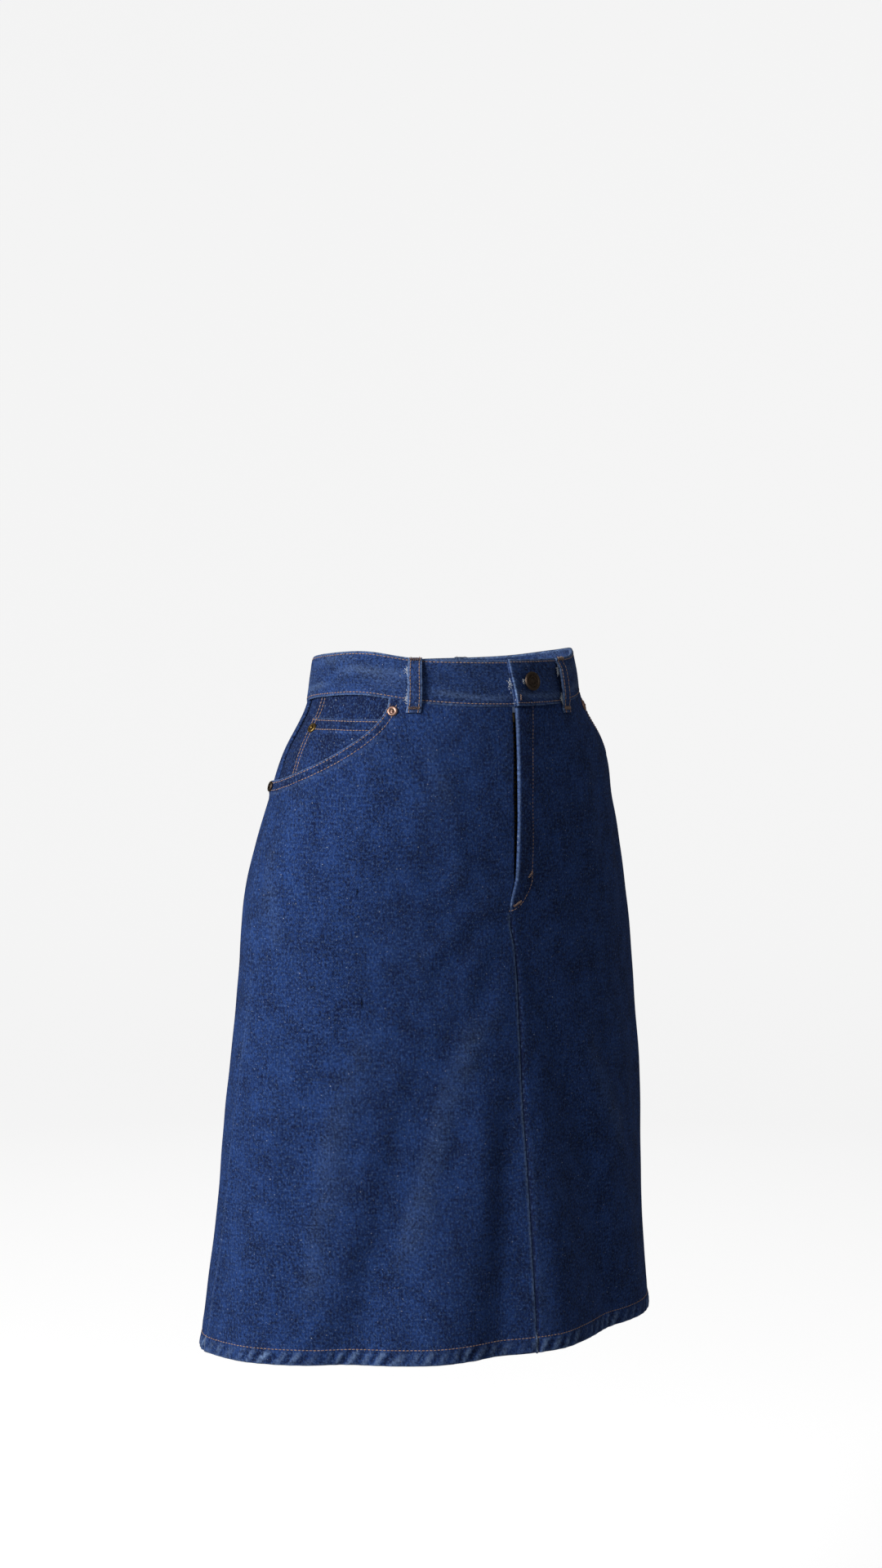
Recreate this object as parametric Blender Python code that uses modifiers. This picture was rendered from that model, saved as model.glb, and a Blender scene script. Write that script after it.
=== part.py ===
"""A denim skirt in the hollow shape it takes when worn, for Blender 4.5.

Frame: the origin is the centre of the waistband at half its height, +Z is up, the wearer faces -Y
and the wearer's left is +X. All sizes are in millimetres and angles in degrees until a point is made.

A place on the cloth is a turn round the body (0 at the centre front, +90 towards the wearer's left,
180 at the centre back), a height, and how far out it stands from the skirt's own outer surface.
"""

import bpy
import math
import numpy as np
from mathutils import Vector

MM = 0.001
SEAM_GAP = 0.3          # clear space between two pieces that are sewn or lie together
DENIM = 1.6             # one layer of cloth, as a wall
LINING_LAYER = 1.2      # a layer that lies under or over another: facing, coin pocket, hem turning
LEFT, RIGHT = 1, -1     # the wearer's sides, as signs of the turn

# ---------------------------------------------------------------- the worn shape
# One row for each level. side: half the width. front, back: where the ring crosses the middle plane.
# seam: how far back the ring is widest. roundness: 2 is an ellipse, less has flatter panels.
SECTIONS = (
    # height,  side, front,  back,  seam, roundness
    (28.0,    122.5, -107.0,  82.0,  -2.0, 2.00),
    (20.0,    124.0, -108.0,  83.0,  -2.0, 2.00),
    (-20.0,   131.0, -115.0,  86.0,  -2.0, 2.00),
    (-60.0,   154.0, -119.0, 103.0,  -6.0, 2.00),
    (-110.0,  170.5, -121.0, 122.0,  -7.0, 1.95),
    (-180.0,  191.0, -115.0, 136.0,  -4.0, 1.90),
    (-260.0,  202.0, -116.0, 136.0,  -5.0, 1.85),
    (-360.0,  214.5, -124.0, 134.0,   0.0, 1.82),
    (-470.0,  223.0, -136.0, 126.0,  11.0, 1.80),
    (-577.0,  233.0, -146.0, 126.0,  24.0, 1.80),
)
HEM_HEIGHT = -577.0

# The largest folds. Each runs straight from where it starts to the hem, growing as it falls.
FOLDS = (
    # start turn, start height, hem turn, half width, depth at the hem (out is positive)
    (-6.0,   -215.0,  -46.0,  8.0, -7.0),
    (-2.0,   -230.0,  -24.0,  8.0,  5.0),
    (-1.0,   -300.0,   -9.0,  5.0, -5.0),
    (2.0,    -210.0,    7.0,  6.0,  5.0),
    (8.0,    -200.0,   27.0,  8.0, -7.0),
    (20.0,   -260.0,   45.0, 11.0,  4.0),
    (-80.0,  -260.0,  -72.0, 12.0,  4.0),
    (75.0,   -250.0,   70.0, 11.0, -4.0),
    (118.0,  -230.0,  124.0, 11.0, -6.0),
    (150.0,  -220.0,  152.0, 10.0,  5.0),
    (178.0,  -300.0,  172.0,  9.0, -4.0),
    (-152.0, -230.0, -158.0, 10.0,  5.0),
    (-122.0, -250.0, -128.0, 11.0, -6.0),
)

# ---------------------------------------------------------------- waist, seams and openings
BAND_TOP, BAND_SEAM = 20.0, -20.0
# How far the band's two edges ride up round the body, from the front to the back.
BAND_LIFT = (
    # turn, top edge, sewn edge
    (0.0,    0.0,   0.0),
    (20.0,   0.5,   1.0),
    (42.0,   2.3,   4.6),
    (65.0,   8.0,  10.5),
    (90.0,   5.0,   7.5),
    (125.0, -1.0,   0.0),
    (180.0, -4.0,  -4.0),
)
BAND_OUT = 1.0          # the band's outer surface stands this far proud of the panels
BAND_WALL = 3.2         # two layers and the seam allowances between them
UNDERLAP_TURN = 15.0    # the end that carries the button, under the other one
OVERLAP_TURN = -3.0     # the end with the buttonhole, just past the centre front
OVERLAP_EASE = 8.0      # the turn over which the band climbs onto its other end
OVERLAP_LIFT = 2.0      # how far the free end stands off

SIDE_SEAM = ((-20.0, 104.5), (-85.0, 104.5), (-180.0, 97.5), (-265.0, 91.5), (-577.0, 91.0))
FLY_BASE = -196.0
# The fly's folded edge and the centre front seam below it, pulled to the wearer's right at the fly's foot.
FRONT_LINE = ((-20.0, -1.4), (-60.0, -1.6), (-100.0, -1.7), (-145.0, -1.1), (-170.0, -0.8),
              (-184.0, -1.9), (-196.0, -2.4), (-212.0, -1.6), (-228.0, -0.4), (-260.0, 0.0), (-577.0, -0.2))
# How far the right front's edge stands back from that line, where the zip shows between them.
FLY_OPENING = ((-20.0, 1.1), (-100.0, 1.3), (-150.0, 0.8), (-190.0, 0.0), (-577.0, 0.0))
FLY_LIFT, FLY_WIDTH_TURN = 2.2, 13.0

# The scooped pocket opening is a quarter ellipse centred where the side seam meets the waistband.
SCOOP_WIDTH_TURN, SCOOP_DEPTH = 51.6, 71.0
SCOOP_LIFT_START, SCOOP_LIFT_END = 0.9, 4.4
SCOOP_FADE = 0.65       # how far past the edge the front still stands off, as a part of the scoop
FACING_TUCK = 15.0
FACING_OUT = -1.9
COIN_TOP = -29.5
COIN_OUTER_TURN, COIN_INNER_TURN = 90.5, 53.6
COIN_TUCK = 8.0

HEM_DEPTH = 13.5
ROW_COUNT = 12
ROW_CROWDING = 1.45     # rows are closer together over the hips

# ---------------------------------------------------------------- trims
LOOP_TURNS = {"front_right": -42.0, "front_left": 26.5, "back_right": -145.0,
              "back_left": 145.0, "centre_back": 180.0}
LOOP_WIDTH, LOOP_WALL = 12.0, 2.2
LOOP_BELOW_SEAM = 9.0
LOOP_RISE = 3.2         # how far the loop's middle stands off the band
BUTTON_TURN, BUTTON_HEIGHT, BUTTON_RADIUS = 5.1, -1.6, 8.5
RIVET_RADIUS = 4.7
ZIP_LENGTH_TOP, ZIP_LENGTH_FOOT = -24.0, -184.0
CHAIN_WIDTH, CHAIN_WALL, CHAIN_OUT = 5.0, 1.2, -3.6
TAPE_WIDTH, TAPE_WALL, TAPE_OUT = 27.0, 0.8, -5.1
SLIDER_WIDTH, SLIDER_LENGTH, SLIDER_WALL = 5.0, 9.0, 1.4

COLOURS = {
    # name: (red, green, blue), roughness, metallic
    "indigo_denim": ((0.030, 0.055, 0.120), 0.9, 0.0),
    "antique_bronze": ((0.090, 0.065, 0.045), 0.4, 1.0),
    "copper": ((0.450, 0.220, 0.120), 0.35, 1.0),
    "brass": ((0.500, 0.330, 0.120), 0.35, 1.0),
    "zip_tape": ((0.015, 0.020, 0.045), 0.9, 0.0),
}


def curve(table, place, column=1):
    """A smooth value from a table whose first column is the place, flat beyond its ends."""
    rows = sorted(table)
    places = np.array([row[0] for row in rows])
    values = np.array([row[column] for row in rows])
    place = min(max(place, places[0]), places[-1])
    index = min(int(np.searchsorted(places, place, side="right")) - 1, len(rows) - 2)
    slopes = np.gradient(values, places)
    width = places[index + 1] - places[index]
    part = (place - places[index]) / width
    rise = part * part * (3 - 2 * part)
    start_pull = part * (1 - part) ** 2 * slopes[index] * width
    end_pull = part * part * (part - 1) * slopes[index + 1] * width
    return values[index] + (values[index + 1] - values[index]) * rise + start_pull + end_pull


def line(table, place):
    """A value read straight between the rows of a table."""
    rows = sorted(table)
    return float(np.interp(place, [row[0] for row in rows], [row[1] for row in rows]))


def eased(part):
    """0 to 1 with a soft start and end."""
    part = min(max(part, 0.0), 1.0)
    return part * part * (3 - 2 * part)


def turned(turn):
    """The same turn, between -180 and 180."""
    return (turn + 180.0) % 360.0 - 180.0


def band_edge(turn, edge):
    """The height of the waistband's top edge or sewn edge at a turn."""
    if edge == "top":
        return BAND_TOP + curve(BAND_LIFT, abs(turned(turn)), 1)
    return BAND_SEAM + curve(BAND_LIFT, abs(turned(turn)), 2)


def fold_depth(turn, height):
    """How far the folds move the cloth at a place."""
    depth = 0.0
    for start_turn, start_height, hem_turn, half_width, hem_depth in FOLDS:
        fall = (start_height - height) / (start_height - HEM_HEIGHT)
        if fall > 0:
            centre = start_turn + (hem_turn - start_turn) * fall
            across = turned(turn - centre) / (half_width * (0.6 + 0.4 * fall))
            depth += hem_depth * eased(fall) * math.exp(-across * across)
    return depth


def scoop_place(turn, height):
    """How far from the scoop's centre a place is (1 on the edge), and the angle along the scoop."""
    across = (SIDE_SEAM[0][1] - abs(turned(turn))) / SCOOP_WIDTH_TURN
    down = (band_edge(turn, "sewn") - height) / SCOOP_DEPTH
    return math.hypot(across, down), math.atan2(max(down, 0.0), max(across, 0.0))


def front_lift(turn, height, side):
    """How far a front panel stands off round its pocket opening, and the left one along the fly."""
    far, angle = scoop_place(turn, height)
    edge_lift = SCOOP_LIFT_START + (SCOOP_LIFT_END - SCOOP_LIFT_START) * math.sin(angle)
    lift = edge_lift * (1 - eased((far - 1) / SCOOP_FADE))
    if side == LEFT and height > FLY_BASE:
        near_fly = 1 - eased(turn / FLY_WIDTH_TURN)
        lift += FLY_LIFT * near_fly * eased((height - FLY_BASE) / 40.0)
    return lift


def ring(turn, height):
    """The point of the skirt's outer surface, with its folds, at a turn and a height."""
    side, front, back, seam, roundness = [curve(SECTIONS, height, column) for column in range(1, 6)]
    angle = math.radians(turn)
    sine, cosine = math.sin(angle), math.cos(angle)
    reach = (abs(sine) ** roundness + abs(cosine) ** roundness) ** (-1 / roundness)
    depth = (seam - front) if cosine > 0 else (back - seam)
    outward = Vector((sine / side, -cosine / depth)).normalized() * fold_depth(turn, height)
    return Vector((side * sine * reach + outward.x, seam - depth * cosine * reach + outward.y, height))


def surface_normal(turn, height):
    """The way out of the cloth at a place."""
    along = ring(turn + 1.0, height) - ring(turn - 1.0, height)
    up = ring(turn, height + 3.0) - ring(turn, height - 3.0)
    return along.cross(up).normalized()


def cloth(turn, height, out=0.0):
    """A point on or off the cloth, in millimetres."""
    return ring(turn, height) + surface_normal(turn, height) * out


def turn_per_mm(turn, height):
    """The turn that moves a point one millimetre round the body."""
    return 2.0 / (ring(turn + 1.0, height) - ring(turn - 1.0, height)).length


# ---------------------------------------------------------------- Blender objects
def clear_scene():
    for scene_object in list(bpy.data.objects):
        bpy.data.objects.remove(scene_object)


def material(name):
    colour, roughness, metallic = COLOURS[name]
    made = bpy.data.materials.get(name)
    if made is None:
        made = bpy.data.materials.new(name)
        made.use_nodes = True
        shader = made.node_tree.nodes["Principled BSDF"]
        shader.inputs["Base Color"].default_value = (*colour, 1.0)
        shader.inputs["Roughness"].default_value = roughness
        shader.inputs["Metallic"].default_value = metallic
        made.diffuse_color = (*colour, 1.0)
    return made


def add_object(name, mesh, finish):
    mesh.materials.append(material(finish))
    made = bpy.data.objects.new(name, mesh)
    bpy.data.collections["denim_skirt"].objects.link(made)
    return made


def cloth_piece(name, columns, wall, finish="indigo_denim"):
    """A closed wall of cloth through columns of places (turn, height, out), each from top to bottom.

    The places are its outer skin, and the inner skin lies one wall further in along the same normals,
    so that the edges of two pieces that meet at a seam stay parallel through their thickness.
    """
    if columns[0][0][0] > columns[-1][0][0]:
        columns = columns[::-1]
    rows, count = len(columns[0]), len(columns) * len(columns[0])
    outer = [cloth(turn, height, out) * MM for column in columns for turn, height, out in column]
    inner = [cloth(turn, height, out - wall) * MM for column in columns for turn, height, out in column]
    faces = []
    for column in range(len(columns) - 1):
        for row in range(rows - 1):
            corner = column * rows + row
            quad = (corner, corner + 1, corner + rows + 1, corner + rows)
            faces.append(quad)
            # Starting at the same corner keeps both skins creased along the same diagonal.
            faces.append(tuple(index + count for index in (quad[0], quad[3], quad[2], quad[1])))
    down_first = list(range(rows))
    along_bottom = list(range(rows - 1, count, rows))
    up_last = list(range(count - 1, count - rows - 1, -1))
    along_top = list(range(count - rows, -1, -rows))
    for edge in (down_first, along_bottom, up_last, along_top):
        for start, end in zip(edge, edge[1:]):
            faces.append((end, start, start + count, end + count))
    mesh = bpy.data.meshes.new(name)
    mesh.from_pydata(outer + inner, [], faces)
    return add_object(name, mesh, finish)


def spaced(start, end, count):
    return [start + (end - start) * step / (count - 1) for step in range(count)]


def front_heights(top):
    """Heights down a front, close together over the hips, with a row where the hem is turned."""
    bottom = HEM_HEIGHT + HEM_DEPTH
    heights = [top + (bottom - top) * (step / ROW_COUNT) ** ROW_CROWDING for step in range(ROW_COUNT + 1)]
    return heights + [HEM_HEIGHT]


def back_heights(top):
    """Heights down a back: beside the pocket, then the same as the front has along the side seam."""
    seam_top = band_edge(SIDE_SEAM[0][1], "sewn") - SCOOP_DEPTH
    return spaced(top, seam_top, 5)[:-1] + front_heights(seam_top)


def side_seam_turn(height, side):
    gap = SEAM_GAP / 2 * turn_per_mm(side * line(SIDE_SEAM, height), height)
    return side * (line(SIDE_SEAM, height) - gap)


def front_edge_turn(height, side):
    """The turn of a front panel's inner edge: the folded fly edge, or the centre front seam."""
    gap = side * SEAM_GAP / 2 * turn_per_mm(0.0, height)
    stand_back = line(FLY_OPENING, height) if side == RIGHT else 0.0
    return line(FRONT_LINE, height) - stand_back + gap


def front_top(side):
    """The places along a front panel's top edge, from the centre front to the side seam."""
    places = []
    start = SIDE_SEAM[0][1] - SCOOP_WIDTH_TURN
    first = side * front_edge_turn(BAND_SEAM, side)
    for turn in spaced(first, start, 9):
        places.append((side * turn, band_edge(turn, "sewn") - SEAM_GAP / 2))
    for step in range(1, 11):
        angle = math.radians(90.0 * step / 10)
        turn = SIDE_SEAM[0][1] - SCOOP_WIDTH_TURN * math.cos(angle)
        places.append((side * turn, band_edge(turn, "sewn") - SCOOP_DEPTH * math.sin(angle)))
    return places


def panel_columns(top_places, inner_edge, outer_edge, heights, lift):
    """Columns of (turn, height, out) from each place on the top edge down to the hem.

    Each keeps its own share of the width between the panel's two long edges.
    """
    columns = []
    for turn, top in top_places:
        share = (turn - inner_edge(top)) / (outer_edge(top) - inner_edge(top))
        share = min(max(share, 0.0), 1.0)
        column = []
        for height in heights(top):
            place = inner_edge(height) + share * (outer_edge(height) - inner_edge(height))
            column.append((place, height, lift(place, height)))
        columns.append(column)
    return columns


def hem_turning(name, columns):
    """The cloth turned up inside the hem, made from the panel's own lowest places, moved in."""
    inside = DENIM + SEAM_GAP
    turned_up = [[(turn, height, out - inside) for turn, height, out in column[-2:]] for column in columns]
    cloth_piece(name, turned_up, LINING_LAYER)


def add_front(side, word):
    columns = panel_columns(front_top(side), lambda height: front_edge_turn(height, side),
                            lambda height: side_seam_turn(height, side), front_heights,
                            lambda turn, height: front_lift(turn, height, side))
    cloth_piece("front_" + word, columns, DENIM)
    hem_turning("hem_front_" + word, columns)


def back_side_edge(height, side):
    gap = SEAM_GAP / 2 * turn_per_mm(side * line(SIDE_SEAM, height), height)
    return side * (line(SIDE_SEAM, height) + gap)


def back_middle_edge(height, side):
    return side * (180.0 - SEAM_GAP / 2 * turn_per_mm(180.0, height))


def add_back(side, word):
    first = abs(back_side_edge(BAND_SEAM, side))
    last = abs(back_middle_edge(BAND_SEAM, side))
    top_places = []
    for turn in spaced(first, last, 15):
        top_places.append((side * turn, band_edge(turn, "sewn") - SEAM_GAP / 2))
    columns = panel_columns(top_places, lambda height: back_side_edge(height, side),
                            lambda height: back_middle_edge(height, side), back_heights,
                            lambda turn, height: 0.0)
    cloth_piece("back_" + word, columns, DENIM)
    hem_turning("hem_back_" + word, columns)


def band_out(turn):
    """How far the band's outer surface stands off; the turn runs on past a whole circle."""
    on_top = BAND_OUT + BAND_WALL + SEAM_GAP
    climb = eased((turn - (360.0 - UNDERLAP_TURN - 2.0 - OVERLAP_EASE)) / OVERLAP_EASE)
    climb_back = BAND_OUT + (on_top - BAND_OUT) * climb
    free_end = eased((turn - (360.0 - UNDERLAP_TURN)) / (UNDERLAP_TURN - OVERLAP_TURN))
    return climb_back + OVERLAP_LIFT * free_end


def add_waistband():
    """One strip that starts at its underlap, goes round the wearer's right and back, and laps over it."""
    columns = []
    start, end = -UNDERLAP_TURN, 360.0 - OVERLAP_TURN
    turns = spaced(start, 360.0 - UNDERLAP_TURN - 2.0 - OVERLAP_EASE, 46)
    turns += spaced(turns[-1], end, 9)[1:]
    for turn in turns:
        real_turn = -turn
        top, sewn = band_edge(real_turn, "top"), band_edge(real_turn, "sewn") + SEAM_GAP / 2
        out = band_out(turn)
        columns.append([(real_turn, height, out) for height in spaced(top, sewn, 4)])
    cloth_piece("waistband", columns, BAND_WALL)


def scoop_height(turn, more_depth=0.0):
    across = (SIDE_SEAM[0][1] - turn) / SCOOP_WIDTH_TURN
    down = math.sqrt(max(1 - across * across, 0.0))
    return band_edge(turn, "sewn") - SCOOP_DEPTH * down - more_depth


def add_pocket_facing(side, word):
    """The layer seen inside the pocket opening, tucked under the front beyond the scoop."""
    columns = []
    reach = SCOOP_WIDTH_TURN + 6.0
    for angle in spaced(15.0, 90.0, 12):
        turn = SIDE_SEAM[0][1] - reach * math.cos(math.radians(angle))
        top = band_edge(turn, "sewn") - SEAM_GAP / 2
        bottom = top - (SCOOP_DEPTH + FACING_TUCK) * math.sin(math.radians(angle))
        column = []
        for height in spaced(top, bottom, 7):
            column.append((side * min(turn, abs(side_seam_turn(height, side))), height, FACING_OUT))
        columns.append(column)
    cloth_piece("pocket_facing_" + word, columns, LINING_LAYER)


def add_coin_pocket():
    columns = []
    for turn in spaced(COIN_INNER_TURN, COIN_OUTER_TURN, 9):
        bottom = min(scoop_height(turn, COIN_TUCK), COIN_TOP - 6.0)
        columns.append([(-turn, height, 0.0) for height in spaced(COIN_TOP, bottom, 5)])
    cloth_piece("coin_pocket", columns, LINING_LAYER)


def add_belt_loop(word, turn):
    """A strip tacked at the band's top edge and below its seam, standing off the band between."""
    top, sewn = band_edge(turn, "top"), band_edge(turn, "sewn")
    foot = sewn - LOOP_BELOW_SEAM
    on_band = BAND_OUT + LOOP_WALL + SEAM_GAP
    # height, out: from the upper tack, over the belt space, to the lower tack
    route = (
        (top - 0.5, on_band + 0.4),
        (top - 4.0, on_band + 0.6),
        (top - 9.0, on_band + LOOP_RISE * 0.75),
        ((top + sewn) / 2, on_band + LOOP_RISE),
        (sewn + 7.0, on_band + LOOP_RISE * 0.8),
        (sewn - 1.0, LOOP_WALL + 2.6),
        (sewn - 4.0, LOOP_WALL + 1.7),
        (foot, LOOP_WALL + 1.5),
    )
    half = LOOP_WIDTH / 2 * turn_per_mm(turn, 0.0)
    columns = []
    for across in (-half, 0.0, half):
        columns.append([(turn + across, height, out) for height, out in route])
    cloth_piece("belt_loop_" + word, columns, LOOP_WALL)


def turned_piece(name, profile, finish, turn, height, out):
    """A round piece from a profile of (radius, rise), turned and set on the cloth."""
    mesh = bpy.data.meshes.new(name)
    points = [(radius * MM, 0.0, rise * MM) for radius, rise in profile]
    mesh.from_pydata(points, [(step, step + 1) for step in range(len(points) - 1)], [])
    made = add_object(name, mesh, finish)
    spin = made.modifiers.new("turning", "SCREW")
    spin.steps = spin.render_steps = 20
    spin.use_merge_vertices = True
    spin.merge_threshold = 0.00005
    made.location = cloth(turn, height, out) * MM
    made.rotation_euler = surface_normal(turn, height).to_track_quat("Z", "Y").to_euler()
    return made


def add_button():
    """The waist button's head, resting on the band's overlap, with the foot of its shank."""
    on_overlap = BAND_OUT + BAND_WALL + SEAM_GAP + OVERLAP_LIFT
    radius = BUTTON_RADIUS
    profile = ((0.0, 3.4), (radius - 3.0, 3.2), (radius - 2.2, 3.8), (radius - 0.8, 3.7), (radius, 2.9),
               (radius - 0.3, 1.9), (radius - 2.0, 1.4), (3.2, 1.2), (3.0, 0.0), (0.0, 0.0))
    turned_piece("waist_button", profile, "antique_bronze", BUTTON_TURN, BUTTON_HEIGHT, on_overlap + 0.5)


def add_rivet(name, finish, turn, height, out):
    radius = RIVET_RADIUS
    profile = ((0.0, 1.9), (1.2, 1.7), (1.7, 0.9), (radius - 1.2, 1.1), (radius - 0.3, 0.8),
               (radius, 0.0), (0.0, 0.0))
    turned_piece(name, profile, finish, turn, height, out + 0.45)


def add_rivets():
    """At both ends of each pocket opening, and on the coin pocket's outer corner."""
    for side, word in ((RIGHT, "right"), (LEFT, "left")):
        turn, height = side * 50.6, -23.0
        add_rivet("rivet_front_" + word, "copper", turn, height, front_lift(turn, height, side))
        turn, height = side * 102.0, -91.0
        add_rivet("rivet_side_" + word, "antique_bronze", turn, height, front_lift(turn, height, side))
    add_rivet("rivet_coin", "brass", -87.8, -38.5, 0.0)


def strip(name, centre_turn, width, top, bottom, rows, out, wall, finish):
    """A narrow strip that runs straight down the cloth."""
    columns = []
    for across in (-width / 2, width / 2):
        column = []
        for height in spaced(top, bottom, rows):
            middle = line(FRONT_LINE, height) + centre_turn
            column.append((middle + across * turn_per_mm(0.0, height), height, out))
        columns.append(column)
    return cloth_piece(name, columns, wall, finish)


def add_zip():
    """The zip behind the fly: its tape, its chain as one strip, and its slider at the top."""
    middle = -FLY_OPENING[0][1] / 2
    strip("zip_tape", middle, TAPE_WIDTH, ZIP_LENGTH_TOP, ZIP_LENGTH_FOOT, 9, TAPE_OUT, TAPE_WALL,
          "zip_tape")
    strip("zip_chain", middle, CHAIN_WIDTH, ZIP_LENGTH_TOP, ZIP_LENGTH_FOOT + 2.0, 9, CHAIN_OUT, CHAIN_WALL,
          "brass")
    strip("zip_slider", middle, SLIDER_WIDTH, ZIP_LENGTH_TOP, ZIP_LENGTH_TOP - SLIDER_LENGTH, 3,
          CHAIN_OUT + SEAM_GAP + SLIDER_WALL, SLIDER_WALL, "brass")


def main():
    clear_scene()
    bpy.context.scene.collection.children.link(bpy.data.collections.new("denim_skirt"))
    for side, word in ((RIGHT, "right"), (LEFT, "left")):
        add_front(side, word)
        add_back(side, word)
        add_pocket_facing(side, word)
    add_coin_pocket()
    add_waistband()
    for word, turn in LOOP_TURNS.items():
        add_belt_loop(word, turn)
    add_button()
    add_rivets()
    add_zip()


main()
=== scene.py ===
"""Denim skirt: its cloth, topstitching and metal trims, built round the fixed frame.

A place on the cloth is a turn round the body in degrees (0 at the centre front, +90 towards the
wearer's left, 180 at the centre back), a height in millimetres, and how far out it stands from the
skirt's own surface. Arrays of places make the sheets, and the same places carry the stitches.
"""

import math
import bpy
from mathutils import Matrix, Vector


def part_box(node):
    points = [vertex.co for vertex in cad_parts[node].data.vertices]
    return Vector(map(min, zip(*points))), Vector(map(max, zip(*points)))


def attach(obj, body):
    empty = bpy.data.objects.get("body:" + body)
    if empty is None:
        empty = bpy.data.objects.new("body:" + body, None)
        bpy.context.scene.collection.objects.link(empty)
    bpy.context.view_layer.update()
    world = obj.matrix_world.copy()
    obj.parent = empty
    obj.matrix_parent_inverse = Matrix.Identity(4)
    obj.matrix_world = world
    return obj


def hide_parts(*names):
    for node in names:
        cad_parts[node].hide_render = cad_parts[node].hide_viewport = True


bl_info = {
    "name": "Denim Skirt Finish",
    "version": (1, 0, 0),
    "blender": (4, 5, 0),
    "location": "View3D > Sidebar > Denim Skirt",
    "description": "Dresses the skirt's frame in denim, thread and metal",
    "category": "Object",
}

import bmesh
import bpy
import numpy as np
from bpy.props import FloatProperty, FloatVectorProperty, IntProperty, PointerProperty
from mathutils import Matrix, Vector

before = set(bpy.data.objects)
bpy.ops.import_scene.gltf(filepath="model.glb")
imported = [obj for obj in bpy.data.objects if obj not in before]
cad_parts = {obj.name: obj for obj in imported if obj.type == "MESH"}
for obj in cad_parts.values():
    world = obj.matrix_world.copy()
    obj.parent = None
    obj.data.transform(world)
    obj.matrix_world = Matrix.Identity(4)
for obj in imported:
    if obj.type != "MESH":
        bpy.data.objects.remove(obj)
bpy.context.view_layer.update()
BODY = "root"
MM = 0.001
LEFT, RIGHT = 1, -1     # the wearer's sides, as signs of the turn


def box_mm(node):
    """A node's lowest and highest corners, in millimetres."""
    low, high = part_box(node)
    return Vector(low) / MM, Vector(high) / MM


def middle_mm(node):
    low, high = box_mm(node)
    return (low + high) / 2


# ---------------------------------------------------------------- the shape on the body
# One row for each level, in the frame's millimetres. side: half the width. front, back: where the
# ring crosses the middle plane. seam: how far back it is widest. roundness: 2 is an ellipse.
HEM = box_mm("hem_front_right")[0].z
SECTIONS = (
    # height,  side, front,  back,  seam, roundness
    (28.0,    122.5, -107.0,  82.0,  -2.0, 2.00),
    (20.0,    124.0, -108.0,  83.0,  -2.0, 2.00),
    (-20.0,   131.0, -115.0,  86.0,  -2.0, 2.00),
    (-60.0,   154.0, -119.0, 103.0,  -6.0, 2.00),
    (-110.0,  170.5, -121.0, 122.0,  -7.0, 1.95),
    (-180.0,  191.0, -115.0, 136.0,  -4.0, 1.90),
    (-260.0,  202.0, -116.0, 136.0,  -5.0, 1.85),
    (-360.0,  214.5, -124.0, 134.0,   0.0, 1.82),
    (-470.0,  223.0, -136.0, 126.0,  11.0, 1.80),
    (-577.0,  233.0, -146.0, 126.0,  24.0, 1.80),
)
# The largest folds run straight from where they start to the hem, growing as they fall.
FOLDS = (
    # start turn, start height, hem turn, half width, depth at the hem (out is positive)
    (-6.0,   -215.0,  -46.0,  8.0, -7.0),
    (-2.0,   -230.0,  -24.0,  8.0,  5.0),
    (-1.0,   -300.0,   -9.0,  5.0, -5.0),
    (2.0,    -210.0,    7.0,  6.0,  5.0),
    (8.0,    -200.0,   27.0,  8.0, -7.0),
    (20.0,   -260.0,   45.0, 11.0,  4.0),
    (-80.0,  -260.0,  -72.0, 12.0,  4.0),
    (75.0,   -250.0,   70.0, 11.0, -4.0),
    (118.0,  -230.0,  124.0, 11.0, -6.0),
    (150.0,  -220.0,  152.0, 10.0,  5.0),
    (178.0,  -300.0,  172.0,  9.0, -4.0),
    (-152.0, -230.0, -158.0, 10.0,  5.0),
    (-122.0, -250.0, -128.0, 11.0, -6.0),
)
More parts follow.
